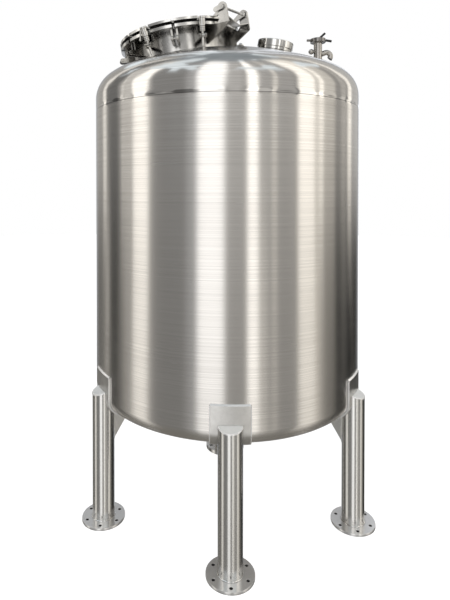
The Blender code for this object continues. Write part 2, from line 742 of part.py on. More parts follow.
def outlet(shop):
    """Drain pipe under the bottom head, with a bolted flange at its end."""
    shop.add("outlet_pipe", ring(OUTLET_BORE, OUTLET_PIPE, OUTLET_LOW, OUTLET_TOP, 32), shop.brushed)
    high = OUTLET_LOW + OUTLET_FLANGE_PLATE
    bm = ring(OUTLET_PIPE + GAP, OUTLET_FLANGE, OUTLET_LOW, high, 32)
    flange = shop.add("outlet_flange", bm, shop.brushed)
    holes = bmesh.new()
    for index in range(OUTLET_HOLES):
        spot = turn(22.5 + 360 * index / OUTLET_HOLES) @ Matrix.Translation((OUTLET_HOLE_CIRCLE, 0, 0))
        cylinder(holes, OUTLET_HOLE_RADIUS, OUTLET_LOW - 0.01, high + 0.01, 8, spot)
    shop.boolean(flange, "DIFFERENCE", holes)


def main():
    clear_scene()
    shop = Workshop()
    shell(shop)
    top_head(shop)
    bottom_head(shop)
    legs(shop)
    manway_neck(shop)
    manway_flange(shop)
    manway_gasket(shop)
    manway_lid(shop)
    hinge_bracket(shop)
    hinge_pin(shop)
    swing_bolts(shop)
    union_nozzle(shop)
    vent(shop)
    outlet(shop)


main()
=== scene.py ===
import logging
import math
from dataclasses import dataclass
from enum import Enum

import bmesh
import bpy
from mathutils import Matrix, Vector, noise


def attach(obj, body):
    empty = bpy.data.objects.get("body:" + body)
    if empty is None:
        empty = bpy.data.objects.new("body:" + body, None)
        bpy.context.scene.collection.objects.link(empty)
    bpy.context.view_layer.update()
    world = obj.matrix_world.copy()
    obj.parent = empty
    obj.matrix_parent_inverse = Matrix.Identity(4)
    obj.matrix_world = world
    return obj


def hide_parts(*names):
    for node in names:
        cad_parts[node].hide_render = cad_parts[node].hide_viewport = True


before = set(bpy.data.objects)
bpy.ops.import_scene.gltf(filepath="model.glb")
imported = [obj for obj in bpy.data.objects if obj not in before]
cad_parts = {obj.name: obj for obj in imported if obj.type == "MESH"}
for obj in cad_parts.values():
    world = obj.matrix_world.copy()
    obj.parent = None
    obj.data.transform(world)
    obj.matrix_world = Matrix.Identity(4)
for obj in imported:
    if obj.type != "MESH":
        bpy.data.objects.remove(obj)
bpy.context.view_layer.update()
LOG = logging.getLogger("tank")
QUARTER = math.pi / 2
GAP = 0.0003
CREASE = math.radians(33.0)


# Helpers


def turn(degrees: float) -> Matrix:
    """Rotation about Z by an angle in degrees."""
    return Matrix.Rotation(math.radians(degrees), 4, "Z")


def tip(degrees: float) -> Matrix:
    """Rotation about Y by an angle in degrees, from Z towards X."""
    return Matrix.Rotation(math.radians(degrees), 4, "Y")


def shift(x: float = 0.0, y: float = 0.0, z: float = 0.0) -> Matrix:
    """Translation matrix."""
    return Matrix.Translation((x, y, z))


def linked(name: str, mesh: bpy.types.Mesh) -> bpy.types.Object:
    """Makes an object of a mesh and links it to the scene."""
    obj = bpy.data.objects.new(name, mesh)
    bpy.context.scene.collection.objects.link(obj)
    return obj


CROSSWISE = Matrix.Rotation(QUARTER, 4, "X")


class Sketch:
    """Outline in the XZ plane, drawn by a moving point, then turned or given thickness."""

    def __init__(self, x: float, z: float) -> None:
        """Starts the outline at a point."""
        self.bm = bmesh.new()
        self.first = bmesh.ops.create_vert(self.bm, co=(x, 0.0, z))["vert"][0]
        self.tip = self.first

    def line(self, *points: tuple[float, float]) -> "Sketch":
        """Draws straight edges to each point in order.

        Args:
            points: (x, z) places of the next corners.

        Returns:
            The sketch itself.
        """
        for x, z in points:
            self.tip = bmesh.ops.extrude_vert_indiv(self.bm, verts=[self.tip])["verts"][0]
            self.tip.co = (x, 0.0, z)
        return self

    def arc(self, x: float, z: float, degrees: float, steps: int) -> "Sketch":
        """Draws an arc from the last point.

        Args:
            x: Centre of the arc along X.
            z: Centre of the arc along Z.
            degrees: Angle swept, positive from X towards Z.
            steps: Number of edges in the arc.

        Returns:
            The sketch itself.
        """
        for _ in range(steps):
            new = bmesh.ops.extrude_vert_indiv(self.bm, verts=[self.tip])["verts"][0]
            matrix = Matrix.Rotation(math.radians(-degrees / steps), 3, "Y")
            bmesh.ops.rotate(self.bm, verts=[new], cent=(x, 0.0, z), matrix=matrix)
            self.tip = new
        return self

    def close(self) -> "Sketch":
        """Joins the last point to the first."""
        self.bm.edges.new((self.tip, self.first))
        return self

    @classmethod
    def band(cls, inner: float, outer: float, low: float, high: float) -> "Sketch":
        """Closed rectangle between two radii and two heights."""
        return cls(inner, low).line((outer, low), (outer, high), (inner, high)).close()

    def turned(self, sides: int, start: float = 0.0, sweep: float = 360.0) -> bmesh.types.BMesh:
        """Spins the outline about Z.

        Args:
            sides: Number of steps round.
            start: Angle of the first step in degrees.
            sweep: Angle of the whole spin in degrees.

        Returns:
            A bmesh of the turned shape, closed.
        """
        bm = self.bm
        bmesh.ops.transform(bm, matrix=turn(start), verts=bm.verts)
        whole = sweep > 359.9
        bmesh.ops.spin(
            bm,
            geom=list(bm.verts) + list(bm.edges),
            cent=(0, 0, 0),
            axis=(0, 0, 1),
            angle=math.radians(sweep),
            steps=sides,
            use_merge=whole,
        )
        bmesh.ops.remove_doubles(bm, verts=bm.verts, dist=1e-6)
        if not whole:
            rim = [edge for edge in bm.edges if edge.is_boundary]
            bmesh.ops.holes_fill(bm, edges=rim, sides=0)
        bmesh.ops.recalc_face_normals(bm, faces=bm.faces)
        return bm

    def plate(self, thickness: float) -> bmesh.types.BMesh:
        """Fills the closed outline and extrudes it along Y, centred on the XZ plane.

        Args:
            thickness: Thickness of the plate.

        Returns:
            A bmesh of the plate.
        """
        bm = self.bm
        bmesh.ops.contextual_create(bm, geom=list(bm.edges))
        bmesh.ops.translate(bm, verts=bm.verts, vec=(0.0, -thickness / 2, 0.0))
        out = bmesh.ops.extrude_face_region(bm, geom=list(bm.faces))["geom"]
        moved = [item for item in out if isinstance(item, bmesh.types.BMVert)]
        bmesh.ops.translate(bm, verts=moved, vec=(0.0, thickness, 0.0))
        bmesh.ops.recalc_face_normals(bm, faces=bm.faces)
        return bm


class Body:
    """Closed shapes gathered in one bmesh, which becomes one piece."""

    def __init__(self) -> None:
        """Starts empty."""
        self.bm = bmesh.new()

    def take(self, other: bmesh.types.BMesh, at: Matrix = Matrix()) -> "Body":
        """Moves another bmesh's shapes in.

        Args:
            other: The bmesh, which is freed.
            at: Its place.

        Returns:
            The body itself.
        """
        bmesh.ops.transform(other, matrix=at, verts=other.verts)
        passing = bpy.data.meshes.new("passing")
        other.to_mesh(passing)
        other.free()
        self.bm.from_mesh(passing)
        bpy.data.meshes.remove(passing)
        return self

    def moved(self, at: Matrix) -> "Body":
        """Moves all its shapes by a matrix."""
        bmesh.ops.transform(self.bm, matrix=at, verts=self.bm.verts)
        return self

    def halved(self, point: tuple, normal: tuple) -> "Body":
        """Takes off what lies beyond a plane, on its normal's side, and closes the cut."""
        bm = self.bm
        geometry = [*bm.verts, *bm.edges, *bm.faces]
        bmesh.ops.bisect_plane(bm, geom=geometry, plane_co=point, plane_no=normal, clear_outer=True)
        bmesh.ops.holes_fill(bm, edges=[edge for edge in bm.edges if edge.is_boundary], sides=0)
        return self

    def rod(
        self, radius: float, low: float, high: float, at: Matrix = Matrix(), sides: int = 32
    ) -> "Body":
        """Adds a closed cylinder along its place's Z, from low to high."""
        bmesh.ops.create_cone(
            self.bm,
            cap_ends=True,
            segments=sides,
            radius1=radius,
            radius2=radius,
            depth=high - low,
            matrix=at @ shift(z=(low + high) / 2),
        )
        return self

    def block(self, low: tuple, high: tuple, at: Matrix = Matrix()) -> "Body":
        """Adds a box between two corners in its place's frame."""
        a, b = Vector(low), Vector(high)
        size = Matrix.Diagonal((*(b - a), 1.0))
        middle = Matrix.Translation((a + b) / 2)
        bmesh.ops.create_cube(self.bm, size=1.0, matrix=at @ middle @ size)
        return self

    def ball(self, radius: float, at: Matrix, sides: int = 24) -> "Body":
        """Adds a sphere."""
        bmesh.ops.create_uvsphere(
            self.bm, u_segments=sides, v_segments=sides // 2, radius=radius, matrix=at
        )
        return self

    def bead(self, reach: float, radius: float, at: Matrix = Matrix(), sides: int = 64) -> "Body":
        """Adds a ring of round section about its place's Z, as a weld bead has."""
        edges = 10
        section = Sketch(reach + radius, 0.0)
        section.arc(reach, 0.0, 360.0 - 360.0 / edges, edges - 1).close()
        return self.take(section.turned(sides), at)

    def bent_bar(
        self, radius: float, bend: float, degrees: float, at: Matrix, sides: int = 24
    ) -> "Body":
        """Adds a solid round bar bent about an axis along Y, starting along its place's X.

        Args:
            radius: Radius of the bar.
            bend: Radius of the bend's centreline, towards -Z.
            degrees: Angle of the bend.
            at: Place of the bar's first end.
            sides: Sides of the round section.

        Returns:
            The body itself.
        """
        bm = bmesh.new()
        bmesh.ops.create_circle(bm, cap_ends=True, segments=sides, radius=radius, matrix=tip(90))
        bmesh.ops.spin(
            bm,
            geom=[*bm.verts, *bm.edges, *bm.faces],
            cent=(0, 0, -bend),
            axis=(0, 1, 0),
            angle=math.radians(degrees),
            steps=max(6, int(degrees / 6)),
            use_merge=False,
        )
        bmesh.ops.remove_doubles(bm, verts=bm.verts, dist=1e-6)
        bmesh.ops.recalc_face_normals(bm, faces=bm.faces)
        return self.take(bm, at)

    def mesh(self, name: str) -> bpy.types.Mesh:
        """Makes the mesh, smooth but for edges sharper than the crease angle."""
        for face in self.bm.faces:
            face.smooth = True
        for edge in self.bm.edges:
            edge.smooth = len(edge.link_faces) == 2 and edge.calc_face_angle(0.0) < CREASE
        made = bpy.data.meshes.new(name)
        self.bm.to_mesh(made)
        self.bm.free()
        return made

    def carved(self, cutter: "Body") -> "Body":
        """Cuts another body's shape out with an exact Boolean.

        Args:
            cutter: The shape to take out, which is used up.

        Returns:
            The body itself, cut.
        """
        target = linked("carving", self.mesh("carving"))
        tool = linked("cutting", cutter.mesh("cutting"))
        modifier = target.modifiers.new("cut", "BOOLEAN")
        modifier.operation = "DIFFERENCE"
        modifier.solver = "EXACT"
        modifier.object = tool
        graph = bpy.context.evaluated_depsgraph_get()
        cut = bpy.data.meshes.new_from_object(target.evaluated_get(graph))
        self.bm = bmesh.new()
        self.bm.from_mesh(cut)
        for obj in (target, tool):
            data = obj.data
            bpy.data.objects.remove(obj, do_unlink=True)
            bpy.data.meshes.remove(data)
        bpy.data.meshes.remove(cut)
        return self


def settle(
    body: Body,
    name: str,
    finish: "Finish",
    rides: str = "tank",
    replaces: tuple[str, ...] = (),
    soften: float = 0.0,
) -> bpy.types.Object:
    """Makes a body into a piece of the model.

    Args:
        body: The shapes.
        name: Name of the piece.
        finish: What its surface is.
        rides: CAD body that it moves with.
        replaces: CAD nodes that it stands for.
        soften: Width of the bevel on its sharp edges, in metres.

    Returns:
        The new object.
    """
    obj = linked(name, body.mesh(name))
    obj.data.materials.append(finish.material())
    if soften:
        bevel = obj.modifiers.new("edges", "BEVEL")
        bevel.width = soften
        bevel.segments = 2
        bevel.limit_method = "ANGLE"
        bevel.angle_limit = CREASE
        bevel.harden_normals = True
    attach(obj, rides)
    if replaces:
        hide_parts(*replaces)
    LOG.info("made %s", name)
    return obj


# Finishes


Socket = bpy.types.NodeSocket
Colour = tuple[float, float, float]
Span = tuple[float, float]


class Graph:
    """Node tree of a material or of the world, where each step makes a node and wires it."""

    def __init__(self, tree: bpy.types.NodeTree) -> None:
        """Takes the tree to work on."""
        self.nodes = tree.nodes
        self.links = tree.links

    def feed(self, node: bpy.types.Node, inputs: dict) -> None:
        """Links sockets into a node's inputs and sets all else on them as constants."""
        for key, value in inputs.items():
            if isinstance(value, Socket):
                self.links.new(value, node.inputs[key])
            else:
                node.inputs[key].default_value = value

    def add(
        self, kind: str, output: str | int = 0, inputs: dict | None = None, **options
    ) -> Socket:
        """Makes a node.

        Args:
            kind: Type of the node.
            output: Name or number of the output that is wanted.
            inputs: What goes into it, by the input's name or number.
            options: The node's own settings.

        Returns:
            The wanted output.
        """
        node = self.nodes.new(kind)
        for name, value in options.items():
            setattr(node, name, value)
        self.feed(node, inputs or {})
        return node.outputs[output]

    def math(self, operation: str, *terms: Socket | float) -> Socket:
        """One operation on sockets or numbers."""
        return self.add("ShaderNodeMath", inputs=dict(enumerate(terms)), operation=operation)

    def noise(self, place: Socket, scale: float, detail: float, rough: float = 0.5) -> Socket:
        """Noise at a place."""
        inputs = {"Vector": place, "Scale": scale, "Detail": detail, "Roughness": rough}
        return self.add("ShaderNodeTexNoise", inputs=inputs)

    def mapped(self, value: Socket, span: Span, to: Span, smooth: bool = True) -> Socket:
        """Maps a value from one span to another.

        Args:
            value: What is mapped.
            span: Where the change starts and ends; outside it the result stays.
            to: The results at its start and end.
            smooth: Whether the change is a smooth step or straight.

        Returns:
            The mapped value.
        """
        names = ("From Min", "From Max", "To Min", "To Max")
        inputs = {"Value": value, **dict(zip(names, (*span, *to)))}
        kind = "SMOOTHSTEP" if smooth else "LINEAR"
        return self.add("ShaderNodeMapRange", inputs=inputs, interpolation_type=kind)

    def scaled(self, value: Socket, by: Socket, span: Span, factors: Span) -> Socket:
        """Scales a colour or number by a smooth step of another value.

        Args:
            value: What is scaled.
            by: The value that the step reads.
            span: Where the step starts and ends.
            factors: The scale at the start and at the end.

        Returns:
            The scaled value.
        """
        inputs = {0: value, "Scale": self.mapped(by, span, factors)}
        return self.add("ShaderNodeVectorMath", inputs=inputs, operation="SCALE")

    def tones(self, value: Socket, *stops: tuple[float, Colour]) -> Socket:
        """Colour ramp between two stops, each a position and a colour."""
        node = self.nodes.new("ShaderNodeValToRGB")
        for element, (position, colour) in zip(node.color_ramp.elements, stops):
            element.position = position
            element.color = (*colour, 1.0)
        self.feed(node, {"Fac": value})
        return node.outputs["Color"]

    def mixed(self, factor: Socket, colour: Socket, other: Colour) -> Socket:
        """Mixes a colour towards a plain one."""
        inputs = {0: factor, 6: colour, 7: (*other, 1.0)}
        return self.add("ShaderNodeMix", 2, inputs, data_type="RGBA")

    def distance(self, height: Socket, level: float) -> Socket:
        """How far a height lies from a level."""
        return self.math("ABSOLUTE", self.math("SUBTRACT", height, level))

    def relief(self, height: Socket, strength: float, depth: float) -> Socket:
        """Bumped normal."""
        inputs = {"Height": height, "Strength": strength, "Distance": depth}
        return self.add("ShaderNodeBump", inputs=inputs)

    def seen(self, hidden: Socket, shown: Socket) -> Socket:
        """Shader that differs for the camera's own rays."""
        ray = self.add("ShaderNodeLightPath", "Is Camera Ray")
        return self.add("ShaderNodeMixShader", inputs={"Fac": ray, 1: hidden, 2: shown})


class Lay(Enum):
    """Which way a surface was brushed: the noise's scales along X, Y and Z."""

    ROUND = (0.5, 0.5, 230.0)
    UPRIGHT = (160.0, 160.0, 1.5)
    MIXED = (30.0, 30.0, 30.0)


_MADE: dict[str, bpy.types.Material] = {}


@dataclass(frozen=True)
class Finish:
    """Surface finish; its material is made once and shared."""

    name: str
    slot: str = "brushed_steel"

    def material(self) -> bpy.types.Material:
        """The finish's material, made at its first use."""
        if self.name not in _MADE:
            made = bpy.data.materials.new(self.name)
            made.use_nodes = True
            graph = Graph(made.node_tree)
            self.dress(graph, graph.nodes["Principled BSDF"])
            _MADE[self.name] = made
        return _MADE[self.name]

    def dress(self, graph: Graph, shader: bpy.types.Node) -> None:
        """Sets the shader up; each kind of finish has its own."""
        raise NotImplementedError


@dataclass(frozen=True)
class GroundSeam:
    """Look of a weld that was ground flush: a thin line, with long streaks of painted reflection
    just above it, lighter and darker in turn.

    Heights are in metres, and each edge is where a change starts and ends.
    """

    level: float
    line_edge: Span = (0.0006, 0.0024)
    line_dark: float = 0.4
    streak_rise: float = 0.0065
    streak_half: float = 0.0075
    streak_edge: Span = (-0.003, 0.0015)
    streak_length: float = 6.5
    reflection_tones: Span = (0.42, 1.36)
    band_rise: float = 0.007
    band_edge: Span = (0.011, 0.017)
    band_gloss: float = 0.35

    def painted_reflections(self, graph: Graph, colour: Socket, place: Socket, height: Socket) -> Socket:
        """Adds the streaks: painted reflections, lighter and darker patches along the seam.

        Args:
            graph: The material's nodes.
            colour: The steel's colour.
            place: Place on the piece.
            height: Height on the piece.

        Returns:
            The streaked colour.
        """
        round_only = {0: place, 1: (1.0, 1.0, 0.0)}
        flat = graph.add("ShaderNodeVectorMath", inputs=round_only, operation="MULTIPLY")
        along = graph.noise(flat, self.streak_length, 1.0)
        swing = graph.mapped(along, (0.36, 0.64), (-1.0, 1.0), smooth=False)
        off = graph.distance(height, self.level + self.streak_rise)
        edge = graph.math("MULTIPLY_ADD", graph.distance(swing, 0.0), -self.streak_half, off)
        push = graph.math("MULTIPLY", graph.mapped(edge, self.streak_edge, (1.0, 0.0)), swing)
        # Painted reflection: the colour is scaled lighter and darker in patches just above the
        # seam.
        return graph.scaled(colour, push, (-1.0, 0.7), self.reflection_tones)

    def drawn(
        self, graph: Graph, colour: Socket, rough: Socket, place: Socket
    ) -> tuple[Socket, Socket]:
        """Adds the line, the streaks of painted reflection and the glossier band.

        Args:
            graph: The material's nodes.
            colour: The steel's colour.
            rough: The steel's roughness.
            place: Place on the piece.

        Returns:
            The new colour and roughness.
        """
        height = graph.add("ShaderNodeSeparateXYZ", "Z", {"Vector": place})
        line = graph.distance(height, self.level)
        colour = graph.scaled(colour, line, self.line_edge, (self.line_dark, 1.0))
        colour = self.painted_reflections(graph, colour, place, height)
        band = graph.distance(height, self.level + self.band_rise)
        return colour, graph.scaled(rough, band, self.band_edge, (self.band_gloss, 1.0))


@dataclass(frozen=True)
class Steel(Finish):
    """Stainless steel with brushing lines, cloudy wear, a little bump and painted shade darkening
    its corners.
    """

    lay: Lay = Lay.MIXED
    light: Colour = (0.74, 0.73, 0.71)
    dark: Colour = (0.61, 0.6, 0.58)
    rough: Span = (0.24, 0.34)
    stretch: float = 0.0
    bump: float = 0.01
    corner_shade: float = 0.0
    corner: float = 0.04
    seam: GroundSeam | None = None
    metal: float = 1.0

    def dress(self, graph: Graph, shader: bpy.types.Node) -> None:
        """Lines from stretched noise drive colour, gloss and bump; a wide noise adds clouding."""
        place = graph.add("ShaderNodeTexCoord", "Object")
        scales = {"Vector": place, "Scale": self.lay.value}
        lines = graph.noise(graph.add("ShaderNodeMapping", inputs=scales), 1.0, 5.0, 0.65)
        worn = graph.math("MULTIPLY_ADD", graph.noise(place, 3.5, 3.0), 0.35, lines)
        colour = graph.tones(worn, (0.42, self.dark), (0.9, self.light))
        rough = graph.mapped(worn, (0.4, 0.95), self.rough[::-1], smooth=False)
        # Painted shade: an ambient occlusion node darkens the colour in corners, recesses and under
        # parts.
        if self.corner_shade:
            reach = {"Distance": self.corner}
            corner = graph.add("ShaderNodeAmbientOcclusion", "AO", reach, samples=12)
            colour = graph.scaled(colour, corner, (0.2, 0.85), (1.0 - self.corner_shade, 1.0))
        if self.seam:
            colour, rough = self.seam.drawn(graph, colour, rough, place)
        inputs = {"Base Color": colour, "Roughness": rough}
        inputs |= {"Metallic": self.metal, "Anisotropic": self.stretch}
        if self.bump:
            inputs["Normal"] = graph.relief(lines, self.bump, 0.001)
        if self.stretch:
            inputs["Tangent"] = graph.add("ShaderNodeCombineXYZ", inputs={"Z": 1.0})
        graph.feed(shader, inputs)


@dataclass(frozen=True)
class Dull(Finish):
    """Rubber or blackened steel with faint mottling."""

    tone: Colour = (0.02, 0.02, 0.02)
    rough: float = 0.6

    def dress(self, graph: Graph, shader: bpy.types.Node) -> None:
        """Noise varies colour and roughness a little, and adds a fine bump."""
        spots = graph.noise(graph.add("ShaderNodeTexCoord", "Object"), 90.0, 4.0)
        darker, lighter = (tuple(c * share for c in self.tone) for share in (0.7, 1.5))
        gloss = (self.rough - 0.1, self.rough + 0.1)
        inputs = {
            "Base Color": graph.tones(spots, (0.35, darker), (0.7, lighter)),
            "Roughness": graph.mapped(spots, (0.0, 1.0), gloss, smooth=False),
            "Normal": graph.relief(spots, 0.15, 0.0005),
        }
        graph.feed(shader, inputs)


TOP_SEAM = 1.9407
SHELL_STEEL = Steel(
    "shell_brushed_steel",
    lay=Lay.ROUND,
    light=(0.75, 0.725, 0.695),
    dark=(0.62, 0.597, 0.568),
    rough=(0.19, 0.28),
    stretch=0.95,
    bump=0.012,
    seam=GroundSeam(TOP_SEAM),
)
HEAD_STEEL = Steel(
    "head_satin_steel",
    lay=Lay.ROUND,
    light=(0.71, 0.69, 0.665),
    dark=(0.57, 0.55, 0.525),
    rough=(0.11, 0.18),
    stretch=0.7,
    seam=GroundSeam(TOP_SEAM),
)
FITTING_STEEL = Steel("fitting_polished_steel", rough=(0.14, 0.24), corner_shade=0.55)
NECK_STEEL = Steel("neck_polished_steel", rough=(0.14, 0.24), corner_shade=0.75, corner=0.1)
# Painted shade: a darker copy of the steel for the ears, their pins and the hinge's lower plates,
# which stand in shade under the flange.
SHADED_STEEL = Steel(
    "ear_shaded_steel",
    light=(0.42, 0.41, 0.39),
    dark=(0.3, 0.29, 0.27),
    rough=(0.18, 0.28),
    bump=0.02,
    corner_shade=0.6,
)
LEG_STEEL = Steel(
    "leg_tube_steel",
    lay=Lay.UPRIGHT,
    light=(0.71, 0.7, 0.68),
    dark=(0.67, 0.66, 0.64),
    rough=(0.21, 0.24),
    stretch=0.5,
    bump=0.0,
)
PLATE_STEEL = Steel("pad_satin_steel", rough=(0.28, 0.4), bump=0.015, corner_shade=0.5)
# Painted light and shade: a lighter, partly non-metallic copy of the steel stands for light bounced
# up from the floor, and strong painted shade darkens its corners.
FOOT_STEEL = Steel(
    "foot_lit_and_shaded_steel",
    light=(0.8, 0.79, 0.78),
    dark=(0.7, 0.69, 0.68),
    rough=(0.12, 0.22),
    corner_shade=0.85,
    corner=0.015,
    metal=0.65,
)
PIPE_STEEL = Steel(
    "pipe_satin_steel",
    light=(0.5, 0.48, 0.45),
    dark=(0.38, 0.36, 0.34),
    rough=(0.16, 0.26),
    corner_shade=0.7,
)
# Painted light: a lighter, partly non-metallic copy of the leg steel makes the sloped caps bright,
# as lit tops.
CAP_STEEL = Steel(
    "cap_bright_steel",
    light=(0.92, 0.92, 0.91),
    dark=(0.86, 0.86, 0.85),
    rough=(0.35, 0.45),
    metal=0.6,
)
BRIGHT_STEEL = Steel("bright_polished_steel", "polished_steel", rough=(0.08, 0.16), corner_shade=0.5)
WELD_STEEL = Steel("weld_bead_steel", rough=(0.1, 0.25), bump=0.3, light=(0.8, 0.79, 0.77))
FILLET_STEEL = Steel(
    "ground_weld_steel",
    light=(0.98, 0.97, 0.96),
    dark=(0.84, 0.83, 0.82),
    rough=(0.16, 0.26),
    bump=0.05,
    corner_shade=0.7,
    corner=0.012,
    metal=0.55,
)
DARK_STEEL = Steel(
    "clamp_dark_steel",
    light=(0.3, 0.29, 0.28),
    dark=(0.2, 0.19, 0.18),
    rough=(0.15, 0.3),
    bump=0.05,
    corner_shade=0.8,
)
RUBBER = Dull("gasket_black_rubber", "gasket_rubber")
BLACK = Dull("wing_nut_black", "black_steel", tone=(0.015, 0.015, 0.015), rough=0.4)


# Shared sizes


LEGS = {"front": 0.0, "right": 60.0, "back": 180.0, "left": -60.0}
MANWAY_AT = (0.2285, 175.0)
UNION_AT = (0.278, -31.0)
VENT_AT = (0.471, -0.0825)

@dataclass(frozen=True)
class Vessel:
    """Sizes of the tank's own curve, shared by the parts that sit on it."""

    radius: float = 0.675
    sheet: float = 0.004
    top_seam: float = TOP_SEAM
    bottom_seam: float = 0.752
    top_tangent: float = 2.003
    top_knuckle: float = 0.135
    top_crown: float = 1.485
    bottom_tangent: float = 0.5807
    bottom_knuckle: float = 0.074
    bottom_crown: float = 1.4175

    def depth(self, crown: float, knuckle: float) -> float:
        """How far the crown's centre lies behind the tangent line."""
        return math.sqrt((crown - knuckle) ** 2 - (self.radius - knuckle) ** 2)

    def meeting(self, crown: float, knuckle: float) -> float:
        """Angle in degrees at which the knuckle turns into the crown."""
        return math.degrees(math.atan2(self.depth(crown, knuckle), self.radius - knuckle))

    def on_top(self, reach: float, azimuth: float) -> Matrix:
        """Frame on the top head.

        Args:
            reach: Distance from the tank's axis.
            azimuth: Angle about that axis in degrees, from X.

        Returns:
            A frame with X away from the axis and Z square to the surface.
        """
        height = self.top_tangent - self.depth(self.top_crown, self.top_knuckle)
        height += math.sqrt(self.top_crown**2 - reach**2)
        lean = math.degrees(math.asin(reach / self.top_crown))
        return turn(azimuth) @ shift(reach, 0, height) @ tip(lean)


VESSEL = Vessel()


# The tank's skin


@dataclass
class Shell:
    """Cylinder of sheet with its two circumferential welds."""

    sides: int = 288
    row: float = 0.002
    near_rows: int = 15
    first_row: float = 0.04
    far_row: float = 0.0925
    far_rows: int = 13
    dent: float = 0.0013
    dent_rise: float = 0.006
    dent_width: float = 0.009

    def wall(self) -> bmesh.types.BMesh:
        """Turns the wall's outline, with rows close together near the seams."""
        v = VESSEL
        inner = v.radius - v.sheet
        near = [self.row * k for k in range(1, self.near_rows + 1)]
        heights = [v.bottom_seam + d for d in near]
        heights += [v.bottom_seam + self.first_row + k * self.far_row for k in range(self.far_rows)]
        heights += [v.top_seam - d for d in reversed(near)]
        outline = Sketch(inner, v.top_seam).line((inner, v.bottom_seam), (v.radius, v.bottom_seam))
        outline.line(*[(v.radius, z) for z in heights], (v.radius, v.top_seam)).close()
        return outline.turned(self.sides)

    def draw_in(self, bm: bmesh.types.BMesh, seam: float) -> None:
        """Draws the sheet in above a weld, in shallow dents that come and go along it.

        Args:
            bm: The wall or the head.
            seam: Height of the weld.
        """
        for vert in bm.verts:
            offset = (vert.co.z - seam - self.dent_rise) / self.dent_width
            if abs(offset) > 3.0 or vert.co.xy.length < VESSEL.radius - 0.002:
                continue
            around = Vector((vert.co.x, vert.co.y, 0.0)).normalized()
            depth = 0.5 + 1.6 * noise.noise(around * 5.5) + 0.8 * noise.noise(around * 15.0)
            vert.co.xy *= 1.0 - self.dent * depth * math.exp(-offset * offset) / VESSEL.radius

    def build(self) -> None:
        """Makes the wall."""
        bm = self.wall()
        self.draw_in(bm, VESSEL.top_seam)
        plates = tuple(f"shell_plate_{index}" for index in range(1, 7))
        settle(Body().take(bm), "shell_wall", SHELL_STEEL, replaces=plates)


@dataclass
class Heads:
    """Dished top and bottom of the tank."""

    sides: int = 288
    knuckle_steps: int = 24
    crown_steps: int = 34
    near_rows: int = 14
    still: float = 0.02
    fade: float = 0.06
    top_wave: float = 0.0016
    low_wave: float = 0.0004
    manway_hole: float = 0.2565
    union_hole: float = 0.0778
    vent_hole: float = 0.0208
    outlet_hole: float = 0.0543

    def dome(
        self, crown: float, knuckle: float, skirt: float, hole: float = 0.0
    ) -> bmesh.types.BMesh:
        """Turns a head that curves up from its tangent line at z 0.

        Args:
            crown: Radius of the middle.
            knuckle: Radius of the turned-up edge.
            skirt: Straight length below the tangent line.
            hole: Radius of an opening in the middle.

        Returns:
            A bmesh of the head.
        """
        v = VESSEL
        depth = v.depth(crown, knuckle)
        meet = v.meeting(crown, knuckle)
        edge = v.radius - knuckle
        outer_end = math.degrees(math.acos(hole / crown)) if hole else 90.0
        inner_end = math.degrees(math.acos(hole / (crown - v.sheet))) if hole else 90.0
        near = [Shell.row * k for k in range(1, self.near_rows + 1)]
        outline = Sketch(v.radius, -skirt)
        outline.line(*[(v.radius, d - skirt) for d in near], (v.radius, 0.0))
        outline.arc(edge, 0.0, meet, self.knuckle_steps)
        outline.arc(0.0, -depth, outer_end - meet, self.crown_steps)
        start = math.radians(inner_end)
        thin = crown - v.sheet
        outline.line((thin * math.cos(start), -depth + thin * math.sin(start)))
        outline.arc(0.0, -depth, meet - inner_end, 12)
        outline.arc(edge, 0.0, -meet, 8)
        outline.line((v.radius - v.sheet, -skirt)).close()
        return outline.turned(self.sides)

    def wave(self, bm: bmesh.types.BMesh, seam: float, strength: float) -> None:
        """Gives a head the faint waves of hand finishing, which die out at its weld.

        Args:
            bm: The head, in place.
            seam: Height of the weld.
            strength: Height of the waves in metres.
        """
        for vert in bm.verts:
            share = min(1.0, max(0.0, (abs(vert.co.z - seam) - self.still) / self.fade))
            rise = noise.noise(vert.co * 6.0) + 0.5 * noise.noise(vert.co * 13.0)
            vert.co += vert.normal * (rise * strength * share)

    def build(self) -> None:
        """Makes both heads, with the top one's openings cut."""
        v = VESSEL
        top = self.dome(v.top_crown, v.top_knuckle, v.top_tangent - v.top_seam)
        bmesh.ops.translate(top, verts=top.verts, vec=(0, 0, v.top_tangent))
        Shell().draw_in(top, v.top_seam)
        self.wave(top, v.top_seam, self.top_wave)
        cuts = Body().rod(self.manway_hole, -0.15, 0.1, v.on_top(*MANWAY_AT), 96)
        cuts.rod(self.union_hole, -0.1, 0.1, v.on_top(*UNION_AT), 64)
        cuts.rod(self.vent_hole, -0.1, 0.1, shift(*VENT_AT, v.top_tangent + 0.15), 32)
        settle(Body().take(top).carved(cuts), "top_head_skin", HEAD_STEEL, replaces=("top_head",))
        skirt = v.bottom_seam - v.bottom_tangent
        low = self.dome(v.bottom_crown, v.bottom_knuckle, skirt, self.outlet_hole)
        bmesh.ops.scale(low, verts=low.verts, vec=(1, 1, -1))
        bmesh.ops.translate(low, verts=low.verts, vec=(0, 0, v.bottom_tangent))
        bmesh.ops.recalc_face_normals(low, faces=low.faces)
        self.wave(low, v.bottom_seam, self.low_wave)
        settle(Body().take(low), "bottom_head_skin", SHELL_STEEL, replaces=("bottom_head",))


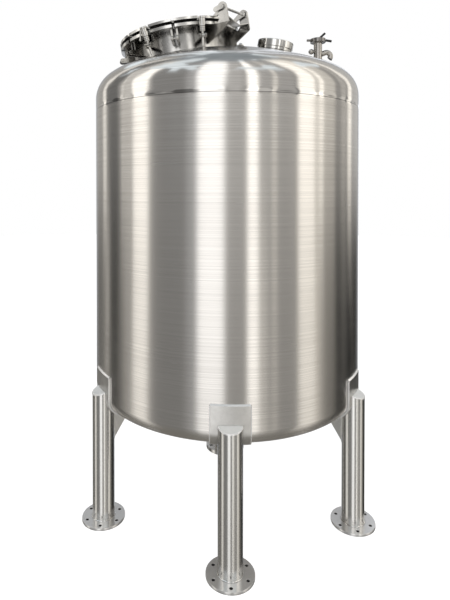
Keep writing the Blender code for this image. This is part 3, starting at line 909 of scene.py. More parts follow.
@dataclass
class Leg:
    """Round leg with its cap, pad, gusset and foot plate, laid out with X out through the leg."""

    name: str
    angle: float
    reach: float = 0.6732
    radius: float = 0.0512
    wall: float = 0.003
    top: float = 0.7
    cap_top: float = 0.6084
    cap_slope: float = 0.32
    cap_plate: float = 0.005
    cap_skin: float = 0.0022
    rim_proud: float = 0.0022
    rim_drop: float = 0.0012
    rim_depth: float = 0.006
    foot_radius: float = 0.0998
    foot_plate: float = 0.012
    foot_holes: int = 6
    foot_hole: float = 0.007
    foot_circle: float = 0.079
    foot_bead: float = 0.003
    pad: float = 0.008
    pad_top: float = 0.685
    pad_width: float = 0.163
    pad_inner: float = 0.56
    pad_round: float = 0.002
    pad_fillet: float = 0.006
    pad_bead: float = 0.0052
    gusset_inner: float = 0.563
    gusset_rise: float = 0.452
    gusset_low: float = 0.362
    gusset_top: float = 0.6
    gusset_plate: float = 0.008
    gusset_bead: float = 0.003

    def place(self) -> Matrix:
        """Frame with X out through the leg."""
        return turn(self.angle - 90.0)

    def envelope(self) -> Body:
        """Solid inside the tank's lower outline, a gap outside the pads' faces."""
        v = VESSEL
        meet = v.meeting(v.bottom_crown, v.bottom_knuckle)
        depth = v.depth(v.bottom_crown, v.bottom_knuckle)
        high, side = 0.9, v.radius + self.pad + GAP
        outline = Sketch(0.0, high).line((side, high), (side, v.bottom_tangent))
        outline.arc(v.radius - v.bottom_knuckle, v.bottom_tangent, -meet, 12)
        outline.arc(0.0, v.bottom_tangent + depth, meet - 90.0, 24).close()
        return Body().take(outline.turned(192))

    def fitted(self, body: Body) -> Body:
        """Cuts a body to the pad and moves it to its leg."""
        return body.carved(self.envelope()).moved(self.place())

    def sloped(self, body: Body, drop: float = 0.0, keep_high: bool = False) -> Body:
        """Cuts a body off along the sloped cap's plane, or keeps only what is above it."""
        lean = math.degrees(math.atan(self.cap_slope))
        plane = shift(VESSEL.radius + self.pad, 0, self.cap_top - drop) @ tip(lean)
        normal = plane.to_3x3() @ Vector((0, 0, -1 if keep_high else 1))
        return body.halved(plane.translation, normal)

    def tube(self) -> None:
        """Tube with its sloped cap and the fillet round it, all cut to the pad."""
        core = shift(self.reach)
        middle = 0.5
        cap = self.sloped(Body().rod(self.radius, middle, self.top, core, 72))
        cap = self.fitted(self.sloped(cap, self.cap_skin, keep_high=True))
        settle(cap, f"leg_cap_{self.name}", CAP_STEEL, soften=0.0009)
        rim = Body().rod(self.radius + self.rim_proud, middle, self.top, core, 72)
        rim = self.sloped(self.sloped(rim, self.rim_depth, keep_high=True), self.rim_drop)
        settle(self.fitted(rim), f"leg_rim_{self.name}", FILLET_STEEL, soften=0.0018)
        tube = Body().rod(self.radius, self.foot_plate, self.top, core, 72)
        bore = Body().rod(self.radius - self.wall, -0.1, self.top, core, 48)
        tube = self.sloped(tube, self.cap_skin).carved(self.sloped(bore, self.cap_plate))
        node = f"leg_tube_{self.name}"
        settle(self.fitted(tube), f"leg_{self.name}", LEG_STEEL, replaces=(node,), soften=0.0008)

    def foot(self) -> None:
        """Round plate with its holes, and the bead at the tube's foot."""
        core = shift(self.reach)
        plate = Body().rod(self.foot_radius, 0.0, self.foot_plate, core, 96)
        holes = Body()
        for index in range(self.foot_holes):
            spot = core @ turn(360 / self.foot_holes * index) @ shift(self.foot_circle)
            holes.rod(self.foot_hole, -0.01, 0.03, spot, 24)
        plate = plate.carved(holes).moved(self.place())
        node = f"foot_plate_{self.name}"
        settle(plate, f"foot_{self.name}", FOOT_STEEL, replaces=(node,), soften=0.0012)
        seat = self.place() @ core @ shift(z=self.foot_plate + 0.0008)
        weld = Body().bead(self.radius + 0.0005, self.foot_bead, seat, 72)
        settle(weld, f"foot_weld_{self.name}", WELD_STEEL)

    def wrapped(self, proud: float) -> Sketch:
        """Section of a plate that follows the shell and the knuckle.

        Args:
            proud: How far its face stands off the shell.

        Returns:
            The closed outline.
        """
        v = VESSEL
        meet = v.meeting(v.bottom_crown, v.bottom_knuckle)
        depth = v.depth(v.bottom_crown, v.bottom_knuckle)
        edge = v.radius - v.bottom_knuckle
        low = v.bottom_tangent
        end = math.degrees(math.acos(self.pad_inner / v.bottom_crown))
        outline = Sketch(v.radius + 0.0002, self.pad_top)
        outline.line((v.radius + proud, self.pad_top), (v.radius + proud, low))
        outline.arc(edge, low, -meet, 12).arc(0.0, low + depth, meet - end, 6)
        inner = v.bottom_crown + 0.0002
        start = math.radians(-end)
        outline.line((inner * math.cos(start), low + depth + inner * math.sin(start)))
        return outline.arc(0.0, low + depth, end - meet, 6).arc(edge, low, meet, 12).close()

    def pad_plate(self) -> None:
        """Curved reinforcing plate on the shell, wrapped under the knuckle."""
        plate = Body().take(self.wrapped(self.pad).turned(24, -9.0, 18.0))
        for side in (-1, 1):
            plate.halved((0.0, side * self.pad_width / 2, 0.0), (0.0, side, 0.0))
        plate.moved(self.place())
        node = f"leg_pad_{self.name}"
        settle(plate, f"pad_{self.name}", PLATE_STEEL, replaces=(node,), soften=self.pad_round)

    def pad_welds(self) -> None:
        """Fillet along the pad's top and beads down its two sides."""
        v = VESSEL
        half = math.degrees(math.asin(self.pad_width / 2 / v.radius))
        face, low = v.radius + self.pad - 0.001, self.pad_top - 0.001
        top = Sketch(v.radius + 0.0001, low).line((face, low), (face, self.pad_top))
        top.line((v.radius + 0.0001, self.pad_top + self.pad_fillet)).close()
        welds = Body().take(top.turned(24, -half, 2 * half))
        for side in (-1, 1):
            out = side * (self.pad_width / 2 + 0.002)
            back = math.sqrt(v.radius**2 - out**2) - v.radius
            bead = self.wrapped(self.pad - 0.0005).plate(self.pad_bead)
            welds.take(bead, shift(back, out))
        name = f"pad_welds_{self.name}"
        settle(welds.moved(self.place()), name, FILLET_STEEL, soften=self.pad_round)

    def gusset(self) -> None:
        """Tapered plate from leg to bottom head, with beads where it meets the tube."""
        inner, outer = self.gusset_inner, self.reach - self.radius + 0.001
        outline = Sketch(inner, self.gusset_top).line((inner, self.gusset_rise))
        outline.line((outer, self.gusset_low), (outer, self.gusset_top)).close()
        plate = self.fitted(Body().take(outline.plate(self.gusset_plate)))
        node = f"leg_gusset_{self.name}"
        settle(plate, f"gusset_{self.name}", PLATE_STEEL, replaces=(node,), soften=0.0012)
        welds = Body()
        for side in (-1, 1):
            spot = self.place() @ shift(outer - 0.002, side * 0.005)
            welds.rod(self.gusset_bead, self.gusset_low + 0.002, 0.5, spot, 12)
        settle(welds, f"gusset_welds_{self.name}", FILLET_STEEL)

    def build(self) -> None:
        """Makes the leg's pieces."""
        self.tube()
        self.foot()
        self.pad_plate()
        self.pad_welds()
        self.gusset()


@dataclass
class Manway:
    """Neck, slotted flange, ears, gasket, lid and hinge, in the manway's own frame."""

    sides: int = 160
    neck: float = 0.257
    neck_wall: float = 0.004
    rim: float = 0.317
    flange_low: float = 0.084
    flange_top: float = 0.098
    lid_low: float = 0.113
    lid_top: float = 0.125
    dish: float = 0.05
    lid_sheet: float = 0.005
    hinge_angle: float = 150.0
    slots: int = 15
    slot_start: float = 140.25
    slot_width: float = 0.015
    slot_inner: float = 0.291
    gasket_rim: float = 0.287
    neck_low: float = -0.035
    neck_bead: float = 0.004
    ear: float = 0.01
    ear_spacing: float = 0.026
    ear_round: float = 0.012
    ear_slope: float = 0.3
    ear_foot: float = 0.014
    pin: float = 0.005
    pin_proud: float = 0.0025
    pin_reach: float = 0.322
    pin_height: float = 0.027
    arm_root: float = 0.272
    arm_bend: float = 0.3
    arm_plate: float = 0.008
    arm_side: float = 0.0845
    arm_eye: float = 0.016
    hinge_reach: float = 0.351
    hinge_height: float = 0.152
    hinge_span: float = 0.196
    hinge_plate: float = 0.009
    hinge_round: float = 0.0248
    hinge_pin: float = 0.0065
    hinge_split: float = 0.081
    hinge_tilt: float = 0.12
    strip_high: float = 0.104
    strip_low: float = 0.078
    strip_thick: float = 0.006
    strip_width: float = 0.038
    lever: float = 0.03
    lever_tilt: float = 14.0

    def station(self, angle: float = 0.0) -> Matrix:
        """Frame at an angle round the manway: X outward, Z along its axis."""
        return VESSEL.on_top(*MANWAY_AT) @ turn(angle)

    def slot_angles(self) -> list[float]:
        """Angles of the open slots; the hinge stands between the last and the first."""
        return [self.slot_start - 360.0 / self.slots * index for index in range(self.slots)]

    def slot_cutter(self) -> Body:
        """Round-ended open slots through the rims."""
        cutter = Body()
        half = self.slot_width / 2
        for angle in self.slot_angles():
            middle, past = self.slot_inner + half, 0.4
            outline = Sketch(middle, half).arc(middle, 0.0, 180.0, 12)
            outline.line((past, -half), (past, half)).close()
            cutter.take(outline.plate(0.2), turn(angle) @ shift(z=0.1) @ CROSSWISE)
        return cutter

    def ring(self, inner: float, outer: float, low: float, high: float) -> Body:
        """Plain ring about the manway's axis."""
        return Body().take(Sketch.band(inner, outer, low, high).turned(self.sides))

    def placed(self, body: Body, angle: float = 0.0) -> Body:
        """Moves a body from the manway's frame into the tank's."""
        return body.moved(self.station(angle))

    def neck_and_flange(self) -> None:
        """Neck tube, its bead and the slotted ring."""
        neck = self.ring(self.neck - self.neck_wall, self.neck, self.neck_low, self.flange_top)
        node = "manway_neck"
        settle(self.placed(neck), "manway_neck_tube", NECK_STEEL, replaces=(node,), soften=0.0006)
        sag = VESSEL.top_crown - math.sqrt(VESSEL.top_crown**2 - self.neck**2)
        foot = self.station() @ shift(z=-sag)
        weld = Body().bead(self.neck + 0.0015, self.neck_bead, foot, self.sides)
        settle(weld, "manway_neck_weld", WELD_STEEL)
        flange = self.ring(self.neck + GAP, self.rim, self.flange_low, self.flange_top)
        flange = self.placed(flange.carved(self.slot_cutter()))
        node = "manway_flange"
        settle(flange, "manway_flange_ring", NECK_STEEL, replaces=(node,), soften=0.0008)

    def ears_and_pins(self) -> None:
        """Pairs of ears under the slots, with a pin through each pair."""
        ears, pins = Body(), Body()
        reach = self.ear_spacing / 2 + self.ear / 2 + self.pin_proud
        low, root = self.flange_low + 0.001, self.neck - 0.001
        for angle in self.slot_angles()[1:-1]:
            for side in (-1, 1):
                outline = Sketch(self.pin_reach, self.pin_height - self.ear_round)
                outline.arc(self.pin_reach, self.pin_height, 180.0, 12)
                outline.line((self.ear_slope, self.pin_height + self.ear_round))
                outline.line((self.ear_slope, low), (root, low), (root, self.ear_foot)).close()
                place = turn(angle) @ shift(y=side * self.ear_spacing / 2)
                ears.take(outline.plate(self.ear), place)
            at = turn(angle) @ shift(self.pin_reach, 0, self.pin_height) @ CROSSWISE
            pins.rod(self.pin, -reach, reach, at, 24)
        settle(self.placed(ears), "manway_ears", SHADED_STEEL, soften=0.0008)
        settle(self.placed(pins), "manway_ear_pins", SHADED_STEEL, soften=0.0008)

    def gasket(self) -> None:
        """Black ring between flange and lid."""
        inner = self.neck - self.neck_wall
        ring = self.placed(self.ring(inner, self.gasket_rim, self.flange_top, self.lid_low))
        settle(ring, "manway_seal", RUBBER, replaces=("manway_gasket",), soften=0.002)

    def lid(self) -> None:
        """Dished cover with slotted rim and its two arms."""
        rise = self.dish
        radius = (self.neck**2 + rise**2) / (2 * rise)
        centre = self.lid_top + rise - radius
        half = math.degrees(math.asin(self.neck / radius))
        thin = radius - self.lid_sheet
        inner_half = half * 0.97
        start = math.radians(90.0 - inner_half)
        outline = Sketch(0.0, centre + radius).arc(0.0, centre, -half, 20)
        outline.line((self.rim, self.lid_top), (self.rim, self.lid_low))
        inside = thin * math.cos(start)
        outline.line((inside, self.lid_low), (inside, centre + thin * math.sin(start)))
        outline.arc(0.0, centre, inner_half, 16).close()
        lid = self.placed(Body().take(outline.turned(self.sides)).carved(self.slot_cutter()))
        node = "manway_lid"
        settle(lid, "manway_cover", FITTING_STEEL, "lid", replaces=(node,), soften=0.0008)
        arms = Body()
        x, z = self.hinge_reach, self.hinge_height
        start = math.radians(-80.0)
        foot = (x + self.arm_eye * math.cos(start), z + self.arm_eye * math.sin(start))
        low, high = self.lid_top - 0.002, self.lid_top + 0.003
        for side in (-1, 1):
            outline = Sketch(self.arm_root, low).line((self.arm_bend, low), foot)
            outline.arc(x, z, 180.0, 20).line((self.arm_root, high)).close()
            arms.take(outline.plate(self.arm_plate), shift(y=side * self.arm_side))
        settle(self.placed(arms, self.hinge_angle), "lid_arms", FITTING_STEEL, "lid", soften=0.0008)

    def hinge(self) -> None:
        """Tall plates, light above and below them a darker copy of the steel as painted shade, and
        the folded strip between them.
        """
        inner = math.sqrt((self.neck + GAP) ** 2 - (self.hinge_span / 2 - self.hinge_plate) ** 2)
        plates = Body()
        for side in (-1, 1):
            out = self.hinge_reach + self.hinge_round
            outline = Sketch(inner, self.flange_low).line((inner, 0.008), (out - 0.012, 0.0627))
            outline.line((out - 0.004, 0.0675), (out - 0.0008, 0.0735))
            outline.line((out, self.hinge_split), (out, self.hinge_height))
            outline.arc(self.hinge_reach, self.hinge_height, 180.0, 20)
            outline.line((self.hinge_reach - self.hinge_round, self.flange_top + 0.002))
            outline.line((0.309, self.flange_low)).close()
            plates.take(outline.plate(self.hinge_plate), shift(y=side * self.hinge_span / 2))
        line = shift(self.hinge_reach, 0, self.hinge_height) @ CROSSWISE
        plates = plates.carved(Body().rod(self.hinge_pin + GAP, -0.2, 0.2, line, 24))
        point = (0.33, 0, self.hinge_split)
        upper = Body().take(plates.bm.copy()).halved(point, (-self.hinge_tilt, 0, -1))
        lower = plates.halved(point, (self.hinge_tilt, 0, 1))
        upper, lower = (self.placed(piece, self.hinge_angle) for piece in (upper, lower))
        node = "hinge_bracket"
        settle(upper, "hinge_plates", FITTING_STEEL, replaces=(node,), soften=0.001)
        # Painted shade: the lower plates take the darker copy of the steel.
        settle(lower, "hinge_roots", SHADED_STEEL, soften=0.001)
        half = self.hinge_span / 2 - self.hinge_plate / 2 + 0.001
        high, low, thick = self.strip_high, self.strip_low, self.strip_thick
        fold = Sketch(-half, high).line((0.0, low), (half, high), (half, high - thick))
        fold.line((0.0, low - thick), (-half, high - thick)).close()
        place = shift(self.hinge_reach + 0.004) @ turn(90)
        strip = Body().take(fold.plate(self.strip_width), place)
        settle(self.placed(strip, self.hinge_angle), "hinge_strip", FITTING_STEEL, soften=0.0008)

    def hinge_rod(self) -> None:
        """Rod with its washers and nut, and the lever."""
        outside = self.hinge_span / 2 + self.hinge_plate / 2 + GAP
        line = shift(self.hinge_reach, 0, self.hinge_height) @ CROSSWISE
        rod = Body().rod(self.hinge_pin, -outside - 0.02, outside + 0.012, line, 24)
        rod.rod(0.012, outside, outside + 0.005, line, 24)
        rod.rod(0.015, -outside - 0.004, -outside, line, 32)
        rod.rod(0.0135, -outside - 0.012, -outside - 0.0105, line, 32)
        rod.rod(0.0105, -outside - 0.0175, -outside - 0.012, line, 6)
        x, z = self.hinge_reach, self.hinge_height
        end = x - self.lever
        outline = Sketch(x, z - 0.013).arc(x, z, 180.0, 16).line((end, z + 0.001))
        outline.arc(end, z - 0.0115, 180.0, 12).close()
        raised = shift(x, -outside - 0.0075, z) @ tip(self.lever_tilt)
        rod.take(outline.plate(0.006), raised @ shift(-x, 0, -z))
        rod = self.placed(rod, self.hinge_angle)
        node = "hinge_pin"
        settle(rod, "hinge_rod", BRIGHT_STEEL, "lid", replaces=(node,), soften=0.0006)

    def build(self) -> None:
        """Makes the manway's pieces."""
        self.neck_and_flange()
        self.ears_and_pins()
        self.gasket()
        self.lid()
        self.hinge()
        self.hinge_rod()


@dataclass
class SwingBolt:
    """Bolt on an ear's pin: eye, tail, collar, sleeve nut and tommy bar."""

    number: int
    slot: int
    lean: float
    sleeve: float = 0.0166
    sleeve_low: float = 0.019
    sleeve_top: float = 0.088
    barrel: float = 0.0148
    collar: float = 0.0138
    groove: float = 0.0022
    ring_pitch: float = 0.0078
    rings: int = 3
    rod: float = 0.006
    tail: float = 0.05
    eye: float = 0.011
    bar: bool = False
    bar_angle: float = 155.0

    def place(self, manway: Manway) -> Matrix:
        """Frame on the pin, leaned outward."""
        angle = manway.slot_angles()[self.slot]
        pin = manway.station(angle) @ shift(manway.pin_reach, 0, manway.pin_height)
        return pin @ tip(self.lean)

    def build(self, manway: Manway) -> None:
        """Makes the bolt as one piece."""
        body = Body().rod(self.rod, -self.tail, self.sleeve_low + 0.004, sides=24)
        outline = Sketch(0.0, self.sleeve_low)
        waist, top = self.collar - self.groove, self.sleeve_top
        for index in range(self.rings):
            foot = self.sleeve_low + self.ring_pitch * index
            outline.line((waist, foot), (self.collar, foot + 0.0014))
            outline.line((self.collar, foot + 0.0058), (waist, foot + 0.007))
        shoulder = self.sleeve_low + self.ring_pitch * self.rings
        outline.line((waist, shoulder), (self.barrel, shoulder + 0.002))
        outline.line((self.barrel, top - 0.0095), (self.sleeve, top - 0.0085))
        outline.line((self.sleeve, top - 0.002)).arc(self.sleeve - 0.002, top - 0.002, 90.0, 4)
        outline.line((0.0, top))
        body.take(outline.turned(40))
        if self.bar:
            down = Matrix.Rotation(math.radians(self.bar_angle), 4, "X")
            hung = shift(y=-self.sleeve + 0.002, z=top - 0.008) @ down
            body.rod(0.0048, -0.003, 0.05, hung, 16)
            body.ball(0.0062, hung @ shift(z=0.051), 16)
        half = (manway.ear_spacing - manway.ear) / 2 - 0.0015
        body.rod(self.eye, -half, half, CROSSWISE, 32)
        body.moved(self.place(manway))
        name = f"swing_bolt_{self.number}"
        settle(body, f"bolt_{self.number}", BRIGHT_STEEL, name, replaces=(name,), soften=0.0005)


@dataclass
class Union:
    """Short nozzle with a notched cap nut."""

    liner: float = 0.078
    bore: float = 0.066
    cap: float = 0.0885
    low: float = 0.014
    top: float = 0.0605
    plate: float = 0.006
    edge: float = 0.004
    relief: float = 0.0035
    notches: int = 4

    def build(self) -> None:
        """Makes the liner and its nut."""
        at = VESSEL.on_top(*UNION_AT)
        seat = self.top - self.plate
        tube = Body().take(Sketch.band(self.bore, self.liner, -0.02, seat).turned(96), at)
        settle(tube, "union_tube", FITTING_STEEL, replaces=("union_liner",))
        edge, waist, thread = self.edge, self.cap - self.relief, self.liner + GAP
        outline = Sketch(0.0, self.top).line((self.cap - edge, self.top))
        outline.arc(self.cap - edge, self.top - edge, -90.0, 6).line((self.cap, self.low + 0.014))
        outline.line((waist, self.low + 0.0115), (waist, self.low))
        outline.line((thread, self.low), (thread, seat), (0.0, seat))
        notches = Body()
        corners = (self.cap - 0.005, -0.004, 0.0), (0.12, 0.004, self.low + 0.014)
        for index in range(self.notches):
            notches.block(*corners, turn(45 + 360 / self.notches * index))
        nut = Body().take(outline.turned(96)).carved(notches).moved(at)
        settle(nut, "union_nut", BRIGHT_STEEL, replaces=("union_cap",), soften=0.0008)
        weld = Body().bead(self.liner + 0.005, 0.006, at, 96)
        settle(weld, "union_weld", WELD_STEEL)


@dataclass
class Vent:
    """Slim pipe with a clamped blank, a side knob and an elbow turned down."""

    radius: float = 0.021
    wall: float = 0.002
    top: float = 2.31
    level: float = 2.241
    arm: float = 0.013
    bend: float = 0.02
    turn: float = 150.0
    ferrule: float = 0.0315

    def build(self) -> None:
        """Makes the pipe and the clamp."""
        self.pipe()
        self.clamp()

    def pipe(self) -> None:
        """Pipe with its ferrule, the knob on its left and the elbow on its right."""
        at = shift(*VENT_AT)
        inner = self.radius - self.wall
        base = VESSEL.top_tangent + 0.09
        outline = Sketch(inner, base).line((self.radius, base), (self.radius, self.top - 0.016))
        outline.line((self.ferrule, self.top - 0.011), (self.ferrule, self.top))
        pipe = Body().take(outline.line((inner, self.top)).close().turned(48))
        left = shift(-self.radius + 0.003, 0, self.level + 0.01) @ tip(-90)
        pipe.rod(0.008, 0.0, 0.012, left, 24)
        pipe.ball(0.014, left @ shift(z=0.016))
        rising = shift(self.radius - 0.003, 0, self.level - 0.003) @ tip(-22)
        pipe.rod(self.arm, 0.0, 0.02, rising @ tip(90), 24)
        neck = rising @ shift(x=0.0195)
        pipe.bent_bar(self.arm, self.bend, self.turn, neck)
        angle = math.radians(self.turn)
        end = shift(self.bend * math.sin(angle), 0, self.bend * (math.cos(angle) - 1))
        mouth = neck @ end @ tip(90 + self.turn)
        pipe.rod(self.arm + 0.0015, -0.003, 0.0, mouth, 24)
        # Painted shade: a black disc inside the elbow's mouth stands for the dark inside of the
        # pipe.
        bore = Body().rod(self.arm - 0.0025, -0.002, 0.0004, at @ mouth, 24)
        settle(bore, "vent_elbow_shade_disc", BLACK)
        settle(pipe.moved(at), "vent_tube", PIPE_STEEL, replaces=("vent_pipe",), soften=0.0005)

    def clamp(self) -> None:
        """Clamp ring over the blank, with its short rod and the black wing nut."""
        at = shift(*VENT_AT)
        outer, high, low = self.ferrule + 0.007, self.top + 0.0065, self.top - 0.0135
        outline = Sketch(0.0, high).line((self.ferrule, high), (outer, self.top + 0.005))
        outline.line((outer, low), (self.ferrule + GAP, low))
        outline.line((self.ferrule + GAP, self.top + GAP), (0.0, self.top + GAP))
        clamp = Body().take(outline.turned(48), at)
        clamp.rod(0.006, 0.0, 0.02, at @ shift(0.002 - outer, 0, self.top - 0.001) @ tip(-90), 16)
        settle(clamp, "vent_clamp_ring", DARK_STEEL, replaces=("vent_clamp",), soften=0.0006)
        bolt = shift(outer + 0.0012, 0, self.top - 0.001) @ tip(100)
        nut = Body().rod(0.006, 0.0, 0.03, bolt, 20)
        nut.rod(0.0055, 0.0, 0.038, shift(0.008, 0, self.top + 0.01) @ tip(48), 20)
        settle(nut.moved(at), "vent_wing", BLACK, replaces=("vent_wing_nut",), soften=0.0008)


@dataclass
class Outlet:
    """Drain pipe with its bolted flange."""

    bore: float = 0.05
    pipe: float = 0.0545
    flange: float = 0.1
    plate: float = 0.018
    low: float = 0.17
    top: float = 0.3685
    holes: int = 8
    hole: float = 0.009
    circle: float = 0.08

    def build(self) -> None:
        """Makes the pipe and the flange."""
        tube = Body().take(Sketch.band(self.bore, self.pipe, self.low, self.top).turned(64))
        settle(tube, "outlet_tube", FITTING_STEEL, replaces=("outlet_pipe",))
        high = self.low + self.plate
        ring = Sketch.band(self.pipe + GAP, self.flange, self.low, high)
        holes = Body()
        for index in range(self.holes):
            spot = turn(360 / self.holes * (index + 0.5)) @ shift(self.circle)
            holes.rod(self.hole, self.low - 0.01, high + 0.01, spot, 24)
        flange = Body().take(ring.turned(96)).carved(holes)
        settle(flange, "outlet_ring", FITTING_STEEL, replaces=("outlet_flange",), soften=0.0008)


# Studio


@dataclass(frozen=True)
class SoftBox:
    """Bright panel of the studio.

    Its two edges are degrees round the tank, 0 behind the camera and + to the right. Its strength
    above the horizon and well below it may differ.
    """

    start: float
    end: float
    soft: float
    high: float
    low: float
    warmth: float = 0.0


@dataclass
class Studio:
    """Floor, world light and camera.

    Edges in the world light are heights on the unit sphere. The photo's sizes, its optical centre
    and the focal length are in its pixels, and the camera's dip and swing in radians.
    """

    photo: tuple[float, float] = (450.0, 600.0)
    centre: tuple[float, float] = (193.364, 191.617)
    focal: float = 496.675
    sensor: float = 36.0
    eye: tuple[float, float, float] = (-0.0844, -2.654, 1.5628)
    dip: float = 0.011
    swing: float = 0.0322
    floor_radius: float = 14.0
    floor_glow: float = 0.84
    shadow_radius: float = 0.094
    window: Colour = (1.05, 1.15, 1.22)
    window_size: float = 3.2
    window_edge: Span = (0.45, 0.65)
    horizon: Span = (-0.17, 0.1)
    ceiling_edge: Span = (0.86, 0.97)
    ground_edge: Span = (-0.85, -0.5)
    base: tuple[float, float, float] = (0.07, 0.069, 0.066)
    ceiling: tuple[float, float, float] = (0.34, 0.38, 0.41)
    ground: tuple[float, float, float] = (0.22, 0.21, 0.19)
    facing: float = -1.8
    boxes: tuple[SoftBox, ...] = (
        SoftBox(-185.0, 185.0, 1.0, 0.13, -0.02),
        SoftBox(-180.0, -150.0, 5.0, 0.24, 0.4, -0.1),
        SoftBox(-177.0, -172.0, 1.0, 0.7, 0.3, -0.15),
        SoftBox(-150.0, -129.0, 3.0, 0.25, 0.1, 0.1),
        SoftBox(-129.0, -121.5, 2.0, 0.98, 0.15, 0.1),
        SoftBox(-123.0, -115.5, 1.5, 0.02, 0.4, 0.1),
        SoftBox(-101.0, -62.0, 2.5, 0.22, 0.1, 0.08),
        SoftBox(-97.0, -93.5, 1.0, 0.55, 0.1, 0.1),
        SoftBox(-93.0, -84.5, 1.5, 0.34, 0.24, 0.1),
        SoftBox(-82.7, -66.0, 2.5, 1.3, 0.95, 0.08),
        SoftBox(-64.0, -30.0, 4.0, 0.11, 0.18, 0.02),
        SoftBox(-31.0, 0.0, 4.0, 0.32, 0.3, -0.02),
        SoftBox(-22.8, -1.2, 3.0, 1.15, 1.0, 0.01),
        SoftBox(-2.0, 58.0, 3.0, 0.3, 0.26, 0.06),
        SoftBox(-1.0, 13.0, 3.0, 0.12, 0.04),
        SoftBox(17.8, 26.5, 1.8, 1.4, 1.15, 0.05),
        SoftBox(26.0, 34.5, 2.0, 0.02, 0.34, 0.12),
        SoftBox(37.8, 42.0, 1.4, 0.5, 0.3, 0.15),
        SoftBox(60.6, 76.0, 2.5, 1.5, 0.95, 0.1),
        SoftBox(75.0, 82.5, 1.5, 0.68, 0.62, 0.14),
        SoftBox(82.0, 86.5, 1.2, 1.4, 0.3, 0.12),
        SoftBox(86.0, 101.0, 2.0, 0.62, 0.15, 0.14),
        SoftBox(101.0, 110.0, 2.0, 0.2, -0.04, 0.12),
        SoftBox(110.0, 118.0, 2.0, 0.42, 0.02, 0.12),
        SoftBox(121.0, 129.0, 2.0, 1.25, -0.06, 0.12),
        SoftBox(129.0, 150.0, 4.0, 0.4, -0.04, 0.05),
        SoftBox(150.0, 180.0, 5.0, 0.26, 0.4, -0.1),
        SoftBox(158.0, 162.5, 1.0, 0.8, 0.3, -0.15),
        SoftBox(170.0, 173.0, 1.0, 0.6, 0.3, -0.15),
    )

    def world(self) -> None:
        """World light: a dim room with tall soft panels and a pale ceiling, but white when seen."""
        world = bpy.data.worlds.new("studio")
        bpy.context.scene.world = world
        world.use_nodes = True
        graph = Graph(world.node_tree)
        graph.nodes.clear()
        where = graph.add("ShaderNodeTexCoord", "Generated")
        x, y, z = (graph.add("ShaderNodeSeparateXYZ", axis, {"Vector": where}) for axis in "XYZ")
        angle = graph.math("ARCTAN2", x, graph.math("MULTIPLY", y, -1.0))
        heading = graph.math("SUBTRACT", graph.math("DEGREES", angle), self.facing)
        low = graph.mapped(z, self.horizon, (1.0, 0.0))
        light: Socket | Colour = self.base
        for box in self.boxes:
            light = self.panel(graph, heading, low, box, light)
        light = graph.mixed(graph.mapped(z, self.ceiling_edge, (0.0, 1.0)), light, self.ceiling)
        light = graph.mixed(graph.mapped(z, self.ground_edge, (1.0, 0.0)), light, self.ground)
        patch = graph.mapped(graph.noise(where, self.window_size, 1.0), (0.56, 0.6), (0.0, 1.0))
        high = graph.mapped(z, self.window_edge, (0.0, 1.0))
        light = graph.mixed(graph.math("MULTIPLY", patch, high), light, self.window)
        lit = graph.add("ShaderNodeBackground", inputs={"Color": light})
        white = graph.add("ShaderNodeBackground", inputs={"Color": (1.0, 1.0, 1.0, 1.0)})
        out = graph.nodes.new("ShaderNodeOutputWorld")
        graph.feed(out, {"Surface": graph.seen(lit, white)})

    def panel(
        self, graph: Graph, heading: Socket, low: Socket, box: SoftBox, before: Socket | Colour
    ) -> Socket:
        """Adds one panel's light to what came before.

        Args:
            graph: The world's nodes.
            heading: Direction round the tank in degrees.
            low: 0 above the horizon, 1 well below it.
            box: The panel.
            before: Light of the room and the panels so far.

        Returns:
            The new sum.
        """
        start, end = ((edge - box.soft, edge + box.soft) for edge in (box.start, box.end))
        rise = graph.mapped(heading, start, (0.0, 1.0))
        fall = graph.mapped(heading, end, (1.0, 0.0))
        strength = graph.math("ADD", graph.math("MULTIPLY", low, box.low - box.high), box.high)
        power = graph.math("MULTIPLY", graph.math("MULTIPLY", rise, fall), strength)
        tint = (1.0, 1.0 - 0.35 * box.warmth, 1.0 - box.warmth)
        inputs = {0: tint, 1: power, 2: before}
        return graph.add("ShaderNodeVectorMath", inputs=inputs, operation="MULTIPLY_ADD")

    def staged(self, name: str, bm: bmesh.types.BMesh, material: bpy.types.Material) -> None:
        """Makes a flat stage piece."""
        mesh = bpy.data.meshes.new(name)
        bm.to_mesh(mesh)
        bm.free()
        mesh.materials.append(material)
        linked(name, mesh)

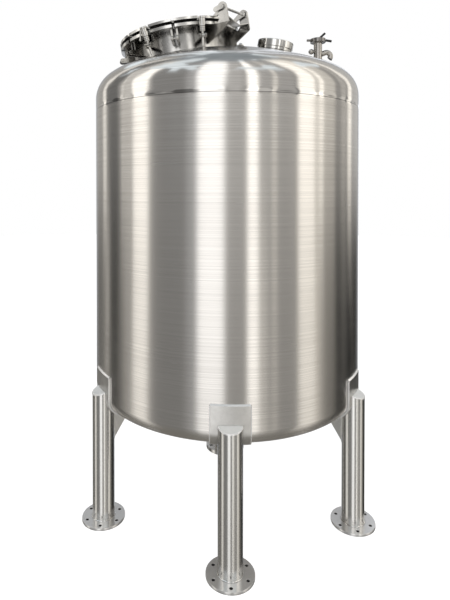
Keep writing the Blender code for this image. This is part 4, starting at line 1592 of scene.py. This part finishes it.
    def floor(self) -> None:
        """Pale floor, level with the undersides of the feet; only the camera sees it."""
        bm = bmesh.new()
        bmesh.ops.create_circle(bm, cap_ends=True, segments=96, radius=self.floor_radius)
        pale = bpy.data.materials.new("pale_floor")
        pale.use_nodes = True
        graph = Graph(pale.node_tree)
        shader = graph.nodes["Principled BSDF"]
        inputs = {
            "Base Color": (0.5, 0.5, 0.5, 1.0),
            "Roughness": 0.9,
            "Specular IOR Level": 0.0,
            "Emission Color": (1.0, 1.0, 1.0, 1.0),
            "Emission Strength": self.floor_glow,
        }
        graph.feed(shader, inputs)
        clear = graph.add("ShaderNodeBsdfTransparent")
        surface = graph.seen(clear, shader.outputs["BSDF"])
        graph.feed(graph.nodes["Material Output"], {"Surface": surface})
        self.staged("floor", bm, pale)

    def shadows(self) -> None:
        """Dark discs on the floor under the feet, which show through the bolt holes."""
        bm = bmesh.new()
        for angle in LEGS.values():
            spot = turn(angle - 90.0) @ shift(Leg.reach, 0.0, 0.0002)
            bmesh.ops.create_circle(
                bm, cap_ends=True, segments=48, radius=self.shadow_radius, matrix=spot
            )
        # Painted shadow: the discs reuse the black rubber material.
        self.staged("foot_shadows", bm, RUBBER.material())

    def camera(self) -> None:
        """Camera at the photograph's height and distance."""
        width, height = self.photo
        centre_x, centre_y = self.centre
        data = bpy.data.cameras.new("camera")
        data.sensor_width = self.sensor
        data.sensor_fit = "AUTO"
        data.lens = self.sensor * self.focal / height
        data.shift_x = (width / 2 - centre_x) / height
        data.shift_y = -(height / 2 - centre_y) / height
        obj = linked("camera", data)
        obj.location = self.eye
        obj.rotation_euler = (QUARTER - self.dip, 0.0, self.swing)
        bpy.context.scene.camera = obj

    def build(self) -> None:
        """Sets the studio up."""
        self.world()
        self.floor()
        self.shadows()
        self.camera()
        bpy.context.scene.view_settings.view_transform = "Standard"


BOLTS = ((1, 17.0), (3, 20.0), (7, 17.0), (9, 24.0), (11, 17.0), (12, 48.0))
BAR_ON = 2


def main() -> None:
    """Builds the tank in order and reports each piece."""
    logging.basicConfig(level=logging.INFO, format="%(name)s: %(message)s")
    Studio().build()
    Shell().build()
    Heads().build()
    for name, angle in LEGS.items():
        Leg(name, angle).build()
    manway = Manway()
    manway.build()
    for number, (slot, lean) in enumerate(BOLTS, 1):
        SwingBolt(number, slot, lean, bar=number == BAR_ON).build(manway)
    Union().build()
    Vent().build()
    Outlet().build()


if __name__ == "__main__":
    main()
